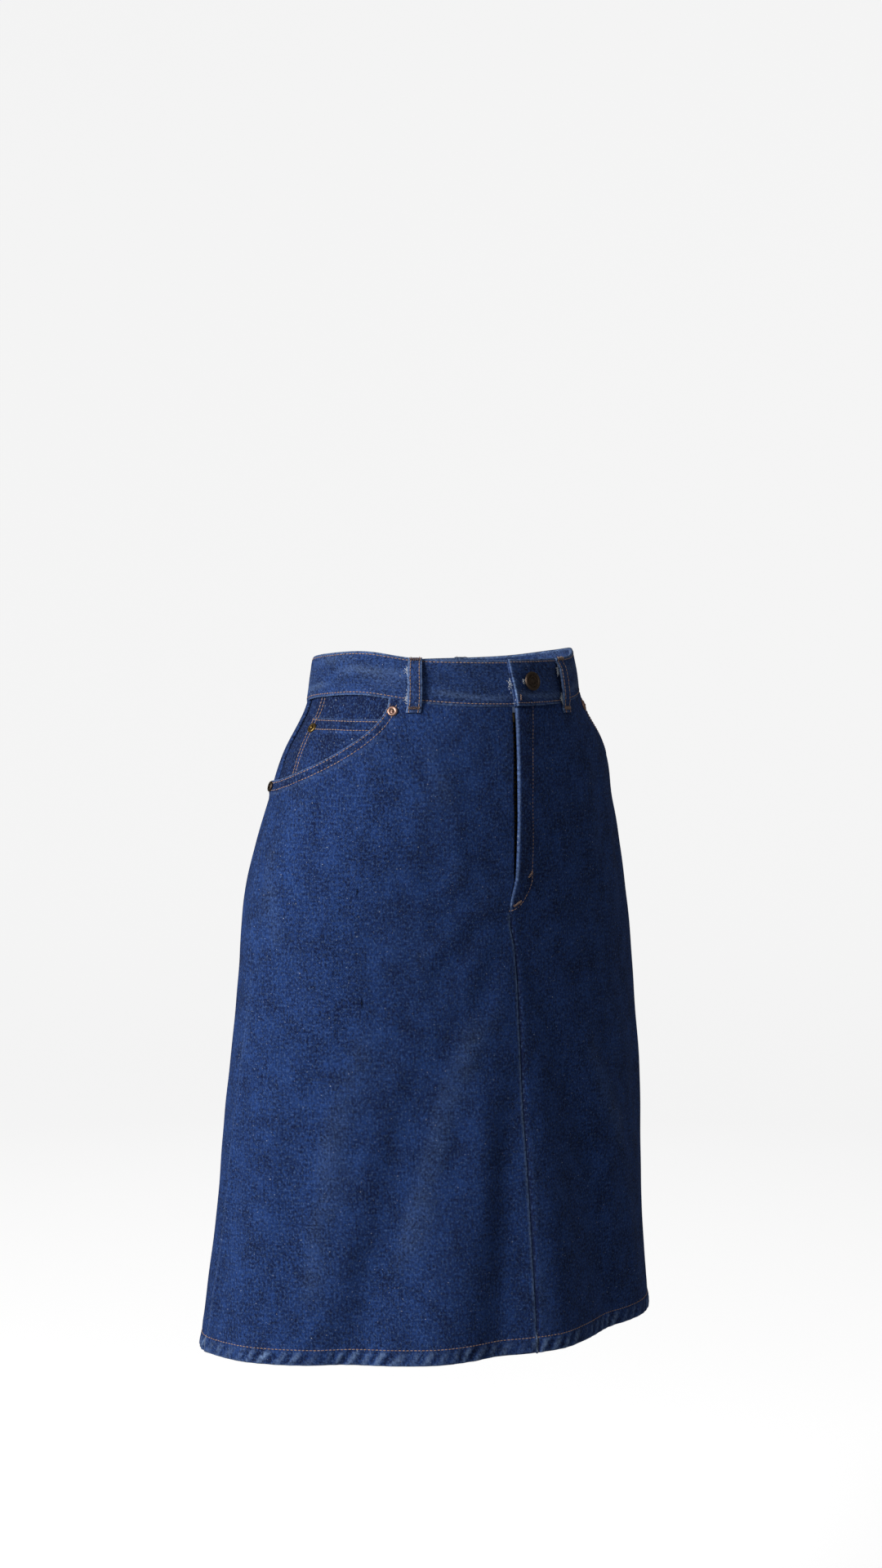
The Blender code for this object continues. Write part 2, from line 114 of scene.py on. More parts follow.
# Smaller creases, each a soft trough (or ridge, where the depth is positive) that fades at both ends.
CREASES = (
    # start turn, start height, end turn, end height, half width in mm, depth in mm
    (-25.0, -320.0,  -48.0, -540.0, 13.0, -2.6),
    (-8.0,  -270.0,  -38.0, -520.0, 12.0,  2.2),
    (-1.5,  -345.0,  -11.0, -520.0,  9.0, -1.8),
    (10.0,  -280.0,   24.0, -450.0, 10.0, -1.8),
    (25.0,  -300.0,   36.0, -420.0, 10.0,  1.6),
    (-44.0, -300.0,  -62.0, -540.0, 15.0,  1.6),
    (-2.6,  -186.0,  -30.0, -232.0,  7.0,  0.9),
    (-33.0,  -40.0,  -24.0, -110.0,  9.0,  1.0),
    (-1.0,  -203.0,  -13.0, -292.0,  9.0, -1.6),
    (1.0,   -206.0,    9.0, -300.0,  9.0, -1.5),
    (-3.0,  -190.0,  -27.0, -262.0, 11.0, -1.1),
    (4.0,   -192.0,   22.0, -268.0, 11.0, -1.2),
    (10.0,  -196.0,    7.0, -150.0,  6.0, -1.0),
    (-6.0,  -160.0,  -24.0, -128.0,  9.0, -0.9),
    (-30.0, -118.0,  -27.0, -176.0, 10.0, -1.2),
    (-20.0, -120.0,  -18.0, -182.0, 10.0,  0.9),
    (-46.0,  -60.0,  -36.0, -150.0, 10.0, -0.8),
    (-70.0,  -96.0,  -52.0, -190.0, 12.0, -1.2),
    (-92.0, -110.0,  -74.0, -240.0, 14.0,  1.0),
    (20.0,  -100.0,   30.0, -190.0, 12.0, -1.2),
    (36.0,   -60.0,   32.0, -170.0, 10.0,  0.9),
    (60.0,   -92.0,   48.0, -230.0, 13.0, -1.2),
    (86.0,  -120.0,   70.0, -250.0, 14.0,  1.1),
    (-60.0, -330.0,  -66.0, -540.0, 15.0, -1.3),
    (-84.0, -380.0,  -88.0, -560.0, 12.0, -1.2),
    (-16.0, -340.0,  -19.0, -520.0, 10.0, -1.0),
    (55.0,  -300.0,   60.0, -520.0, 14.0, -1.4),
    (36.0,  -420.0,   35.0, -565.0, 10.0, -1.0),
    (100.0, -260.0,  108.0, -540.0, 15.0, -1.5),
    (132.0,  -70.0,  150.0, -190.0, 14.0, -1.3),
    (160.0, -110.0,  172.0, -230.0, 12.0,  1.1),
    (138.0, -300.0,  140.0, -545.0, 15.0, -1.6),
    (165.0, -330.0,  166.0, -540.0, 12.0,  1.2),
    (-132.0, -70.0, -148.0, -200.0, 14.0, -1.2),
    (-164.0, -100.0, -174.0, -240.0, 12.0, 1.2),
    (-112.0, -200.0, -110.0, -520.0, 15.0, -1.4),
    (-142.0, -300.0, -144.0, -550.0, 15.0, -1.6),
    (-170.0, -350.0, -168.0, -560.0, 12.0, 1.1),
)

# ---------------------------------------------------------------- waist, seams and openings
BAND_TOP, BAND_SEAM = 20.0, -20.0
# How far the band's two edges ride up round the body, from the front to the back.
BAND_LIFT = (
    # turn, top edge, sewn edge
    (0.0,    0.0,   0.0),
    (20.0,   0.5,   1.0),
    (42.0,   2.3,   4.6),
    (65.0,   8.0,  10.5),
    (90.0,   5.0,   7.5),
    (125.0, -1.0,   0.0),
    (180.0, -4.0,  -4.0),
)
BAND_OUT, BAND_WALL = 1.0, 3.2
SEAM_GAP = 0.3          # between pieces that are sewn together
UNDERLAP_TURN, OVERLAP_TURN, OVERLAP_EASE, OVERLAP_LIFT = 15.0, -3.0, 8.0, 2.0
ON_OVERLAP = BAND_OUT + BAND_WALL + SEAM_GAP + OVERLAP_LIFT * 0.5

SIDE_SEAM = ((-20.0, 104.5), (-85.0, 104.5), (-180.0, 97.5), (-265.0, 91.5), (-577.0, 91.0))
FLY_BASE = -196.0
FRONT_LINE = ((-20.0, -1.4), (-60.0, -1.6), (-100.0, -1.7), (-145.0, -1.1), (-170.0, -0.8),
              (-184.0, -1.9), (-196.0, -2.4), (-212.0, -1.6), (-228.0, -0.4), (-260.0, 0.0), (-577.0, -0.2))
FLY_OPENING = ((-20.0, 1.1), (-100.0, 1.3), (-150.0, 0.8), (-190.0, 0.0), (-577.0, 0.0))
FLY_LIFT, FLY_WIDTH_TURN = 2.2, 13.0
# How far the fly's stitching stands from its edge, and where it starts to turn in to the foot.
J_REACH = ((-20.0, 19.5), (-60.0, 16.5), (-115.0, 15.6), (-150.0, 17.4), (-172.0, 18.3))
J_BEND = -172.0

SCOOP_WIDTH_TURN, SCOOP_DEPTH = 51.6, 71.0
SCOOP_CENTRE = SIDE_SEAM[0][1]
SCOOP_LIFT_START, SCOOP_LIFT_END, SCOOP_FADE = 0.9, 4.4, 0.65
SCOOP_WIDTH = 126.0                 # the same width, along the cloth
FACING_OUT, FACING_TUCK = -1.9, 15.0
COIN_TOP, COIN_OUTER_TURN, COIN_INNER_TURN, COIN_TUCK = -29.5, 90.5, 53.6, 8.0

CLOTH_WALL = 1.1        # one layer of 14 oz denim, with its nap
HEM_TURN_UP = 13.5
ROPE_PITCH = 12.5       # the hem's puckers lean and repeat this often
CREASE_SCALE = 2.9      # about how many millimetres a degree of turn is on the skirt

# How far each row of topstitching lies from its edge.
POCKET_ROWS, COIN_ROWS, COIN_SIDE_ROWS = (2.2, 8.6), (2.2, 9.6), (1.8, 5.6)
BAND_TOP_ROW, BAND_SEAM_ROW, LOOP_ROW = 2.3, 2.6, 2.3


def curve(table, place, column=1):
    """A smooth value from a table whose first column is the place, flat beyond its ends."""
    rows = np.array(sorted(table), float)
    places, values = rows[:, 0], rows[:, column]
    place = np.clip(place, places[0], places[-1])
    index = np.clip(np.searchsorted(places, place, side="right") - 1, 0, len(places) - 2)
    slopes = np.gradient(values, places)
    width = places[index + 1] - places[index]
    part = (place - places[index]) / width
    rise = part * part * (3 - 2 * part)
    start_pull = part * (1 - part) ** 2 * slopes[index] * width
    end_pull = part * part * (part - 1) * slopes[index + 1] * width
    return values[index] + (values[index + 1] - values[index]) * rise + start_pull + end_pull


def line(table, place):
    """A value read straight between the rows of a table."""
    rows = sorted(table)
    return np.interp(place, [row[0] for row in rows], [row[1] for row in rows])


def eased(part):
    """0 to 1 with a soft start and end."""
    part = np.clip(part, 0.0, 1.0)
    return part * part * (3 - 2 * part)


def bell(distance, half_width):
    return np.exp(-(distance / half_width) ** 2)


def turned(turn):
    """The same turn, between -180 and 180."""
    return (turn + 180.0) % 360.0 - 180.0


def band_edge(turn, edge):
    """The height of the waistband's top edge or sewn edge at a turn."""
    if edge == "top":
        return BAND_TOP + curve(BAND_LIFT, np.abs(turned(turn)), 1)
    return BAND_SEAM + curve(BAND_LIFT, np.abs(turned(turn)), 2)


def fold_depth(turn, height):
    depth = 0.0
    for start_turn, start_height, hem_turn, half_width, hem_depth in FOLDS:
        fall = np.clip((start_height - height) / (start_height - HEM), 0.0, 1.05)
        centre = start_turn + (hem_turn - start_turn) * fall
        across = turned(turn - centre) / (half_width * (0.6 + 0.4 * fall))
        depth = depth + hem_depth * eased(fall) * np.exp(-across * across)
    return depth


def ring(turn, height, folded=True):
    """Points of the skirt's outer surface, in millimetres."""
    side, front, back, seam, roundness = [curve(SECTIONS, height, column) for column in range(1, 6)]
    angle = np.radians(turn)
    sine, cosine = np.sin(angle), np.cos(angle)
    reach = (np.abs(sine) ** roundness + np.abs(cosine) ** roundness) ** (-1 / roundness)
    depth = np.where(cosine > 0, seam - front, back - seam)
    x, y = side * sine * reach, seam - depth * cosine * reach
    if folded:
        out_x, out_y = sine / side, -cosine / depth
        scale = fold_depth(turn, height) / np.hypot(out_x, out_y)
        x, y = x + out_x * scale, y + out_y * scale
    return np.stack([x, y, height + 0.0 * x], -1)


def surface_normal(turn, height):
    along = ring(turn + 1.0, height) - ring(turn - 1.0, height)
    up = ring(turn, height + 3.0) - ring(turn, height - 3.0)
    out = np.cross(along, up)
    return out / np.linalg.norm(out, axis=-1, keepdims=True)


def cloth(turn, height, out=0.0):
    """Points on or off the cloth, in millimetres."""
    turn, height, out = np.broadcast_arrays(np.asarray(turn, float), height, out)
    return ring(turn, height) + surface_normal(turn, height) * out[..., None]


def mm_per_turn(turn, height):
    """How far one degree of turn moves a point round the body."""
    step = ring(turn + 1.0, height, folded=False) - ring(turn - 1.0, height, folded=False)
    return np.linalg.norm(step, axis=-1) / 2.0


def girth_to(turn, height, start=0.0):
    """The length round the body from one turn to another, by five evenly weighted samples."""
    total = 0.0
    for part in (0.1, 0.3, 0.5, 0.7, 0.9):
        total = total + mm_per_turn(start + (turn - start) * part, height) / 5
    return total * (turn - start)


# ---------------------------------------------------------------- relief of the sewn cloth
def creases(turn, height):
    """The smaller creases, and the slow unevenness that all well-used cloth has."""
    depth = 0.0
    for start_turn, start_height, end_turn, end_height, half_width, crease_depth in CREASES:
        run = np.array([(end_turn - start_turn) * CREASE_SCALE, end_height - start_height])
        from_start = turned(turn - start_turn) * CREASE_SCALE, height - start_height
        part = (from_start[0] * run[0] + from_start[1] * run[1]) / (run @ run)
        across = (from_start[0] * run[1] - from_start[1] * run[0]) / math.hypot(*run)
        ends = eased((part + 0.12) / 0.4) * eased((1.12 - part) / 0.4)
        bend = half_width * 0.35 * np.sin(part * 5.0)
        depth = depth + crease_depth * ends * bell(across - bend, half_width)
    slow = 0.45 * np.sin(turn * 0.19 + height * 0.021) * np.sin(height * 0.033 - turn * 0.05 + 0.7)
    quick = 0.22 * np.sin(turn * 0.53 - height * 0.047 + 1.3) * np.sin(height * 0.071 + turn * 0.11)
    return depth + slow + quick


def seam_distance(turn, height, seam_turn):
    return turned(turn - seam_turn) * mm_per_turn(seam_turn, height)


def seam_ridge(distance, lean):
    """A pressed-over seam: a fine groove with its allowances raised beside it, on the lean's side."""
    return -0.9 * bell(distance, 0.9) + 0.75 * bell(distance - lean * 3.2, 2.6) \
        + 0.35 * bell(distance - lean * 7.5, 4.0)


def hem_relief(turn, height):
    """The turned hem: a thicker band whose stitching has pulled it into leaning ropes."""
    inside = eased((HEM + HEM_TURN_UP + 0.8 - height) / 1.8)
    above_hem = height - HEM
    girth = girth_to(turn, HEM, start=np.where(np.abs(turned(turn)) > 98, 180.0, 0.0))
    uneven = 0.35 * np.sin(girth * 0.071) + 0.25 * np.sin(girth * 0.173 + 1.0)
    lean = np.sin(2 * math.pi * (girth / ROPE_PITCH - above_hem / 19.0) + uneven * 3)
    rope = 0.85 * lean * (0.75 + uneven) * bell(above_hem - 6.0, 6.5)
    pucker = -0.4 * bell(above_hem - HEM_TURN_UP, 1.3)
    above = 0.22 * lean * bell(above_hem - HEM_TURN_UP - 5.0, 5.0)
    return inside * (0.45 + rope) + pucker + above


def panel_relief(turn, height):
    centre_front = seam_distance(turn, height, line(FRONT_LINE, height))
    below_fly = eased((FLY_BASE - height) / 12.0)
    relief = creases(turn, height) + hem_relief(turn, height)
    relief = relief + below_fly * seam_ridge(centre_front, 1)
    for side in (LEFT, RIGHT):
        relief = relief + seam_ridge(seam_distance(turn, height, side * line(SIDE_SEAM, height)), -side)
    return relief + seam_ridge(seam_distance(turn, height, 180.0), 1)


def scoop_place(turn, height):
    """How far past the scoop's edge a place is in millimetres, and the angle along the scoop."""
    across = (SCOOP_CENTRE - np.abs(turned(turn))) / SCOOP_WIDTH_TURN
    down = (band_edge(turn, "sewn") - height) / SCOOP_DEPTH
    far = np.hypot(across, down)
    angle = np.arctan2(np.maximum(down, 0.0), np.maximum(across, 0.0))
    return far, angle


def scoop_reach(angle):
    """Millimetres on the cloth for one whole scoop radius, square to its edge."""
    return 1 / np.hypot(np.cos(angle) / SCOOP_WIDTH, np.sin(angle) / SCOOP_DEPTH)


def scoop_distance(turn, height):
    far, angle = scoop_place(turn, height)
    return (far - 1) * scoop_reach(angle)


def fly_distance(turn, height):
    """How far inside the fly's J stitching a place on the left front is; negative outside it."""
    from_edge = seam_distance(turn, height, line(FRONT_LINE, height))
    below_bend = np.maximum(J_BEND - height, 0.0)
    reach = curve(J_REACH, height)
    corner = np.hypot(np.maximum(from_edge, 0.0) / reach, below_bend / (J_BEND - FLY_BASE))
    return (1 - corner) * reach


def front_lift(turn, height, left_front):
    """How far a front stands off round its pocket opening, and the left one along the fly."""
    far, angle = scoop_place(turn, height)
    edge_lift = SCOOP_LIFT_START + (SCOOP_LIFT_END - SCOOP_LIFT_START) * np.sin(angle)
    lift = edge_lift * (1 - eased((far - 1) / SCOOP_FADE))
    near_fly = (1 - eased(turn / FLY_WIDTH_TURN)) * eased((height - FLY_BASE) / 40.0)
    return lift + FLY_LIFT * near_fly * left_front


def front_out(turn, height, left_front):
    """Where the right side of a front's cloth lies, with its pocket edge, fly and seams."""
    from_scoop = scoop_distance(turn, height)
    pocket_hem = 0.5 * (1 - eased((from_scoop - 10.0) / 1.4)) - 0.5 * bell(from_scoop, 0.8)
    rows = -0.22 * sum(bell(from_scoop - row, 0.9) for row in POCKET_ROWS)
    out = front_lift(turn, height, left_front) + panel_relief(turn, height) + pocket_hem + rows
    if left_front:
        inside = fly_distance(turn, height)
        from_edge = seam_distance(turn, height, line(FRONT_LINE, height))
        above_base = eased((height - FLY_BASE + 3.0) / 6.0)
        out = out + above_base * (0.6 * eased((inside + 1.0) / 2.0) - 0.35 * bell(inside, 1.0))
        out = out - above_base * 0.7 * bell(from_edge, 0.7)
        out = out - 0.55 * eased((FLY_BASE - 6.0 - height) / 8.0) * bell(from_edge, 1.5)
    return out


def wear_and_shade(turn, height, front, left_front=False):
    """How faded the cloth is, up to 1 on edges, seam ridges and the hem's ropes. Below 0 it is
    darker than the rest: painted shade in the centre front's seam groove below the fly and in the troughs of
    the hem's ropes, and a plainly darker tone between the rows at the pocket and inside the fly's stitching."""
    relief = panel_relief(turn, height)
    above_hem = height - HEM
    on_hem = eased((HEM_TURN_UP - above_hem) / 2.0)
    rope = hem_relief(turn, height)
    fade_and_shade = 0.75 * eased(rope - 0.35) * on_hem + 0.45 * bell(above_hem, 1.4)
    # Painted shade: darker in the troughs of the hem's ropes.
    fade_and_shade = fade_and_shade - 0.3 * eased((0.25 - rope) / 0.6) * on_hem
    centre_front = seam_distance(turn, height, line(FRONT_LINE, height))
    below_fly = eased((FLY_BASE - height) / 8.0)
    if left_front:
        # Painted shadow: a dark line on the left front beside the centre front's seam, below the fly, where
        # the right front's edge shades it.
        fade_and_shade = fade_and_shade - 0.9 * below_fly * bell(centre_front - 0.7, 0.9)
    else:
        fade_and_shade = fade_and_shade + 0.75 * below_fly * bell(centre_front + 0.9, 1.0)
    fade_and_shade = fade_and_shade + 0.7 * bell(centre_front, 0.8) * on_hem
    for side in (LEFT, RIGHT):
        seam = seam_distance(turn, height, side * line(SIDE_SEAM, height))
        fade_and_shade = fade_and_shade + 0.4 * bell(seam + side * 1.2, 0.9)
    fade_and_shade = fade_and_shade + 0.4 * bell(seam_distance(turn, height, 180.0) - 1.8, 1.3)
    fade_and_shade = fade_and_shade + 0.10 * eased(relief / 2.0)
    if front:
        from_scoop = scoop_distance(turn, height)
        fade_and_shade = fade_and_shade + 0.95 * bell(from_scoop, 0.85) - 0.16 * bell(from_scoop - 5.4, 3.0)
        fade_and_shade = fade_and_shade + 0.16 * bell(from_scoop - 11.2, 0.9)
    if left_front:
        above_base = eased((height - FLY_BASE + 3.0) / 6.0)
        fade_and_shade = fade_and_shade + above_base * (0.7 * bell(centre_front - 0.4, 1.4)
                                    - 0.15 * eased((fly_distance(turn, height) + 1.0) / 2.0))
    return np.clip(fade_and_shade, -1.0, 1.0)


# ---------------------------------------------------------------- sizes and colours to change
def linear(hex_colour):
    """An sRGB hex colour as linear red, green, blue and alpha."""
    channels = [int(hex_colour[index:index + 2], 16) / 255 for index in (0, 2, 4)]
    return tuple(c / 12.92 if c <= 0.04045 else ((c + 0.055) / 1.055) ** 2.4 for c in channels) + (1.0,)


def colour_property(name, hex_colour, description):
    return FloatVectorProperty(name=name, description=description, subtype="COLOR", size=4,
                               min=0.0, max=1.0, default=linear(hex_colour))


def length_property(name, millimetres, description):
    return FloatProperty(name=name, description=description, default=millimetres * MM, unit="LENGTH")


class DenimSkirtSizes(bpy.types.PropertyGroup):
    stitch_pitch: length_property("Stitch pitch", 3.3, "From one topstitch to the next")
    stitch_length: length_property("Stitch length", 2.75, "The part of a stitch that shows")
    thread_thickness: length_property("Thread thickness", 0.8, "Heavy topstitching thread")
    wale_spacing: length_property("Wale spacing", 1.25, "Between the twill's diagonal ribs")
    tooth_pitch: length_property("Zip tooth pitch", 1.9, "From one zip tooth to the next")
    fray_seed: IntProperty(name="Fray seed", description="Fixes how the frayed ends fall", default=7)


class DenimSkirtColours(bpy.types.PropertyGroup):
    dark_warp: colour_property("Dark warp", "101c41", "Deep indigo between the twill's ribs")
    warp: colour_property("Warp", "2a4a8c", "The indigo of the ribs")
    weft: colour_property("Weft", "7596c8", "Pale weft where it shows through")
    faded: colour_property("Faded", "86a2d0", "Edges that wear has paled")
    wrong_side: colour_property("Wrong side", "7d8ba3", "The cloth's inner face")
    thread: colour_property("Thread", "b48a6a", "Topstitching thread")
    fray: colour_property("Fray", "e2e8f2", "Frayed cotton ends")
    bronze: colour_property("Bronze", "62544a", "Antique bronze of the button")
    copper: colour_property("Copper", "b08c7e", "Copper of the rivets")
    brass: colour_property("Brass", "8c7446", "Aged brass")
    tape: colour_property("Tape", "161b2b", "Zip tape")
    floor: colour_property("Floor", "f2f2f2", "The studio floor")


# ---------------------------------------------------------------- materials
def sizes():
    return bpy.context.scene.denim_skirt_sizes


def colours():
    return bpy.context.scene.denim_skirt_colours


def add_node(tree, kind, links=None, **settings):
    """One node with its settings; links give each input by name or index a socket or a plain value."""
    node = tree.nodes.new(kind)
    for name, value in settings.items():
        setattr(node, name, value)
    for key, value in (links or {}).items():
        if isinstance(value, bpy.types.NodeSocket):
            tree.links.new(value, node.inputs[key])
        else:
            node.inputs[key].default_value = value
    return node


def new_material(name, roughness, metallic=0.0, colour=None):
    material = bpy.data.materials.new(name)
    material.use_nodes = True
    shader = material.node_tree.nodes["Principled BSDF"]
    shader.inputs["Roughness"].default_value = roughness
    shader.inputs["Metallic"].default_value = metallic
    if colour is not None:
        shader.inputs["Base Color"].default_value = colour
    return material, material.node_tree, shader


def layered(tree, base, layers):
    """A colour with others laid over it in order, each by how much of it shows."""
    for share, colour in layers:
        base = add_node(tree, "ShaderNodeMix", {0: share, 6: base, 7: colour}, data_type="RGBA").outputs[2]
    return base


# How the cloth's dye and yarns vary: the size of a patch across and along the warp in metres,
# its detail and its roughness.
DENIM_PATTERNS = {
    "waver": (0.012, 0.012, 2.0, 0.5),
    "slub": (0.0013, 0.022, 3.0, 0.6),
    "weft_bars": (0.010, 0.0014, 2.0, 0.6),
    "grain": (0.0020, 0.0027, 2.0, 0.65),
    "cloudy": (0.020, 0.026, 4.0, 0.65),
    "speckle": (0.0017, 0.0022, 3.0, 0.7),
    "nep": (0.0016, 0.0013, 0.0, 0.5),
}
TONE_WEIGHTS = (("slub", 0.55), ("grain", 1.25), ("weft_bars", 0.45), ("cloudy", 0.9))
RIB_LEAN = -28.0
WAVE_BAND = 0.314       # a wave texture's bands repeat every 0.314 / scale


def denim_material(name, right_side):
    """Indigo warp-faced cotton twill. The warp is dyed and the weft isn't, so the face is dark with
    fine diagonal ribs, uneven streaks down the cloth and pale flecks where the weft shows, and the
    wrong side is pale. Matt, with a faint nap."""
    material, tree, shader = new_material(name, 0.9)
    shader.inputs["Sheen Weight"].default_value = 0.05
    shader.inputs["Sheen Roughness"].default_value = 0.6
    shader.inputs["Sheen Tint"].default_value = colours().faded
    shader.inputs["Specular IOR Level"].default_value = 0.15
    threads = add_node(tree, "ShaderNodeUVMap", uv_map="threads").outputs[0]
    wear = add_node(tree, "ShaderNodeAttribute", attribute_name="wear_and_shade").outputs["Fac"]
    lean = add_node(tree, "ShaderNodeMapping",
                    {"Vector": threads, "Rotation": (0.0, 0.0, math.radians(RIB_LEAN))}).outputs[0]
    ribs = add_node(tree, "ShaderNodeTexWave",
                    {"Vector": lean, "Distortion": 1.4, "Detail": 1.0, "Detail Scale": 1.5,
                     "Scale": WAVE_BAND / sizes().wale_spacing},
                    wave_type="BANDS", bands_direction="X").outputs["Fac"]
    pattern = {}
    for each, (across, along, detail, roughness) in DENIM_PATTERNS.items():
        place = add_node(tree, "ShaderNodeVectorMath", {0: threads, 1: (1 / across, 1 / along, 1.0)},
                         operation="MULTIPLY").outputs[0]
        pattern[each] = add_node(tree, "ShaderNodeTexNoise",
                                 {"Vector": place, "Scale": 1.0, "Detail": detail,
                                  "Roughness": roughness}).outputs["Fac"]
    tone = add_node(tree, "ShaderNodeMath", {0: ribs, 1: 0.22}, operation="MULTIPLY").outputs[0]
    for each, weight in TONE_WEIGHTS:
        tone = add_node(tree, "ShaderNodeMath", {0: pattern[each], 1: weight, 2: tone},
                        operation="MULTIPLY_ADD").outputs[0]
    # Below 0 the attribute darkens the tone: painted shade in grooves, troughs and under the pocket's edge,
    # and a plainly darker tone elsewhere.
    deep_tone_and_painted_shade = add_node(tree, "ShaderNodeMath", {0: wear, 1: 0.0}, operation="MINIMUM").outputs[0]
    tone = add_node(tree, "ShaderNodeMath", {0: tone, 1: deep_tone_and_painted_shade}, operation="ADD").outputs[0]
    on_ribs = add_node(tree, "ShaderNodeMapRange", {0: tone, 1: 1.45, 2: 1.99}).outputs[0]
    weft_shows = add_node(tree, "ShaderNodeMapRange", {0: pattern["speckle"], 1: 0.50, 2: 0.74, 4: 0.40})
    neps_show = add_node(tree, "ShaderNodeMapRange", {0: pattern["nep"], 1: 0.82, 2: 0.87, 4: 0.55})
    broken = wear
    for each, least, most in (("grain", 0.15, 1.35), ("waver", 0.55, 1.15)):
        share = add_node(tree, "ShaderNodeMapRange", {0: pattern[each], 1: 0.3, 2: 0.7, 3: least, 4: most})
        broken = add_node(tree, "ShaderNodeMath", {0: broken, 1: share.outputs[0]},
                          operation="MULTIPLY").outputs[0]
    if right_side:
        base = layered(tree, colours().dark_warp,
                       [(on_ribs, colours().warp), (weft_shows.outputs[0], colours().weft),
                        (broken, colours().faded), (neps_show.outputs[0], colours().fray)])
    else:
        on_ribs = add_node(tree, "ShaderNodeMapRange", {0: tone, 1: 1.34, 2: 2.04}).outputs[0]
        base = layered(tree, colours().warp, [(on_ribs, colours().wrong_side), (0.72, colours().wrong_side)])
    tree.links.new(base, shader.inputs["Base Color"])
    relief = add_node(tree, "ShaderNodeMath", {0: ribs, 1: 0.5, 2: pattern["grain"]},
                      operation="MULTIPLY_ADD").outputs[0]
    bump = add_node(tree, "ShaderNodeBump", {"Height": relief, "Strength": 0.55, "Distance": 0.00045})
    tree.links.new(bump.outputs[0], shader.inputs["Normal"])
    return material


def thread_material(name, colour, roughness):
    """Spun thread: slightly shiny, with its twist and dye a little uneven along it."""
    material, tree, shader = new_material(name, roughness)
    shader.inputs["Sheen Weight"].default_value = 0.2
    place = add_node(tree, "ShaderNodeTexCoord").outputs["Object"]
    uneven = add_node(tree, "ShaderNodeTexNoise", {"Vector": place, "Scale": 420.0, "Detail": 2.0})
    spots = add_node(tree, "ShaderNodeMapRange", {0: uneven.outputs["Fac"], 1: 0.35, 2: 0.7}).outputs[0]
    pale = layered(tree, colour, [(0.45, colours().fray)])
    dark = layered(tree, colour, [(0.55, colours().dark_warp)])
    tree.links.new(layered(tree, dark, [(spots, pale), (0.55, colour)]), shader.inputs["Base Color"])
    twist = add_node(tree, "ShaderNodeTexNoise", {"Vector": place, "Scale": 2600.0, "Detail": 1.0})
    bump = add_node(tree, "ShaderNodeBump", {"Height": twist.outputs["Fac"], "Strength": 0.4,
                                             "Distance": 0.0001})
    tree.links.new(bump.outputs[0], shader.inputs["Normal"])
    return material


def metal_material(name, colour, roughness, tarnish):
    """Plated and antiqued metal: dark where it is recessed or handled least, and bright on its edges."""
    material, tree, shader = new_material(name, roughness, 1.0)
    place = add_node(tree, "ShaderNodeTexCoord").outputs["Object"]
    blotch = add_node(tree, "ShaderNodeTexNoise", {"Vector": place, "Scale": 700.0, "Detail": 3.0,
                                                   "Roughness": 0.6}).outputs["Fac"]
    edges = add_node(tree, "ShaderNodeNewGeometry").outputs["Pointiness"]
    lit = add_node(tree, "ShaderNodeMapRange", {0: edges, 1: 0.48, 2: 0.58}).outputs[0]
    dull = add_node(tree, "ShaderNodeMapRange", {0: blotch, 1: 0.3, 2: 0.7, 4: tarnish}).outputs[0]
    base = layered(tree, colour, [(dull, linear("191512")), (lit, colour)])
    tree.links.new(base, shader.inputs["Base Color"])
    rough = add_node(tree, "ShaderNodeMapRange",
                     {0: blotch, 1: 0.3, 2: 0.7, 3: roughness, 4: roughness + 0.22}).outputs[0]
    tree.links.new(rough, shader.inputs["Roughness"])
    bump = add_node(tree, "ShaderNodeBump", {"Height": blotch, "Strength": 0.25, "Distance": 0.0001})
    tree.links.new(bump.outputs[0], shader.inputs["Normal"])
    return material


def tape_material():
    """Woven polyester tape: fine herringbone, dark navy."""
    material, tree, shader = new_material("navy_tape", 0.8)
    threads = add_node(tree, "ShaderNodeUVMap", uv_map="threads").outputs[0]
    ribs = add_node(tree, "ShaderNodeTexWave", {"Vector": threads, "Scale": WAVE_BAND / 0.0008},
                    bands_direction="DIAGONAL").outputs["Fac"]
    tree.links.new(layered(tree, colours().tape, [(ribs, colours().dark_warp)]), shader.inputs["Base Color"])
    return material


def floor_material():
    """Matt painted studio paper, lit from within a little so that it stays pale."""
    material, tree, shader = new_material("studio_paper", 0.95, colour=colours().floor)
    place = add_node(tree, "ShaderNodeTexCoord").outputs["Object"]
    tooth = add_node(tree, "ShaderNodeTexNoise", {"Vector": place, "Scale": 90.0, "Detail": 2.0})
    bump = add_node(tree, "ShaderNodeBump", {"Height": tooth.outputs["Fac"], "Strength": 0.05,
                                             "Distance": 0.0005})
    tree.links.new(bump.outputs[0], shader.inputs["Normal"])
    shader.inputs["Emission Color"].default_value = colours().floor
    shader.inputs["Emission Strength"].default_value = 0.8
    return material


def finish(name):
    """A material by its name, made the first time that it is asked for."""
    if name in bpy.data.materials:
        return bpy.data.materials[name]
    makers = {
        "denim_right_side": lambda: denim_material(name, True),
        "denim_wrong_side": lambda: denim_material(name, False),
        "topstitch_thread": lambda: thread_material(name, colours().thread, 0.55),
        "frayed_cotton": lambda: thread_material(name, colours().fray, 0.8),
        "tarnished_bronze": lambda: metal_material(name, colours().bronze, 0.36, 0.85),
        "stamped_copper": lambda: metal_material(name, colours().copper, 0.3, 0.5),
        "aged_brass": lambda: metal_material(name, colours().brass, 0.3, 0.45),
        "navy_tape": tape_material,
        "studio_paper": floor_material,
    }
    return makers[name]()


# ---------------------------------------------------------------- meshes
def link(name, mesh, *finishes):
    for each in finishes:
        mesh.materials.append(finish(each))
    made = bpy.data.objects.new(name, mesh)
    bpy.context.scene.collection.objects.link(made)
    return made


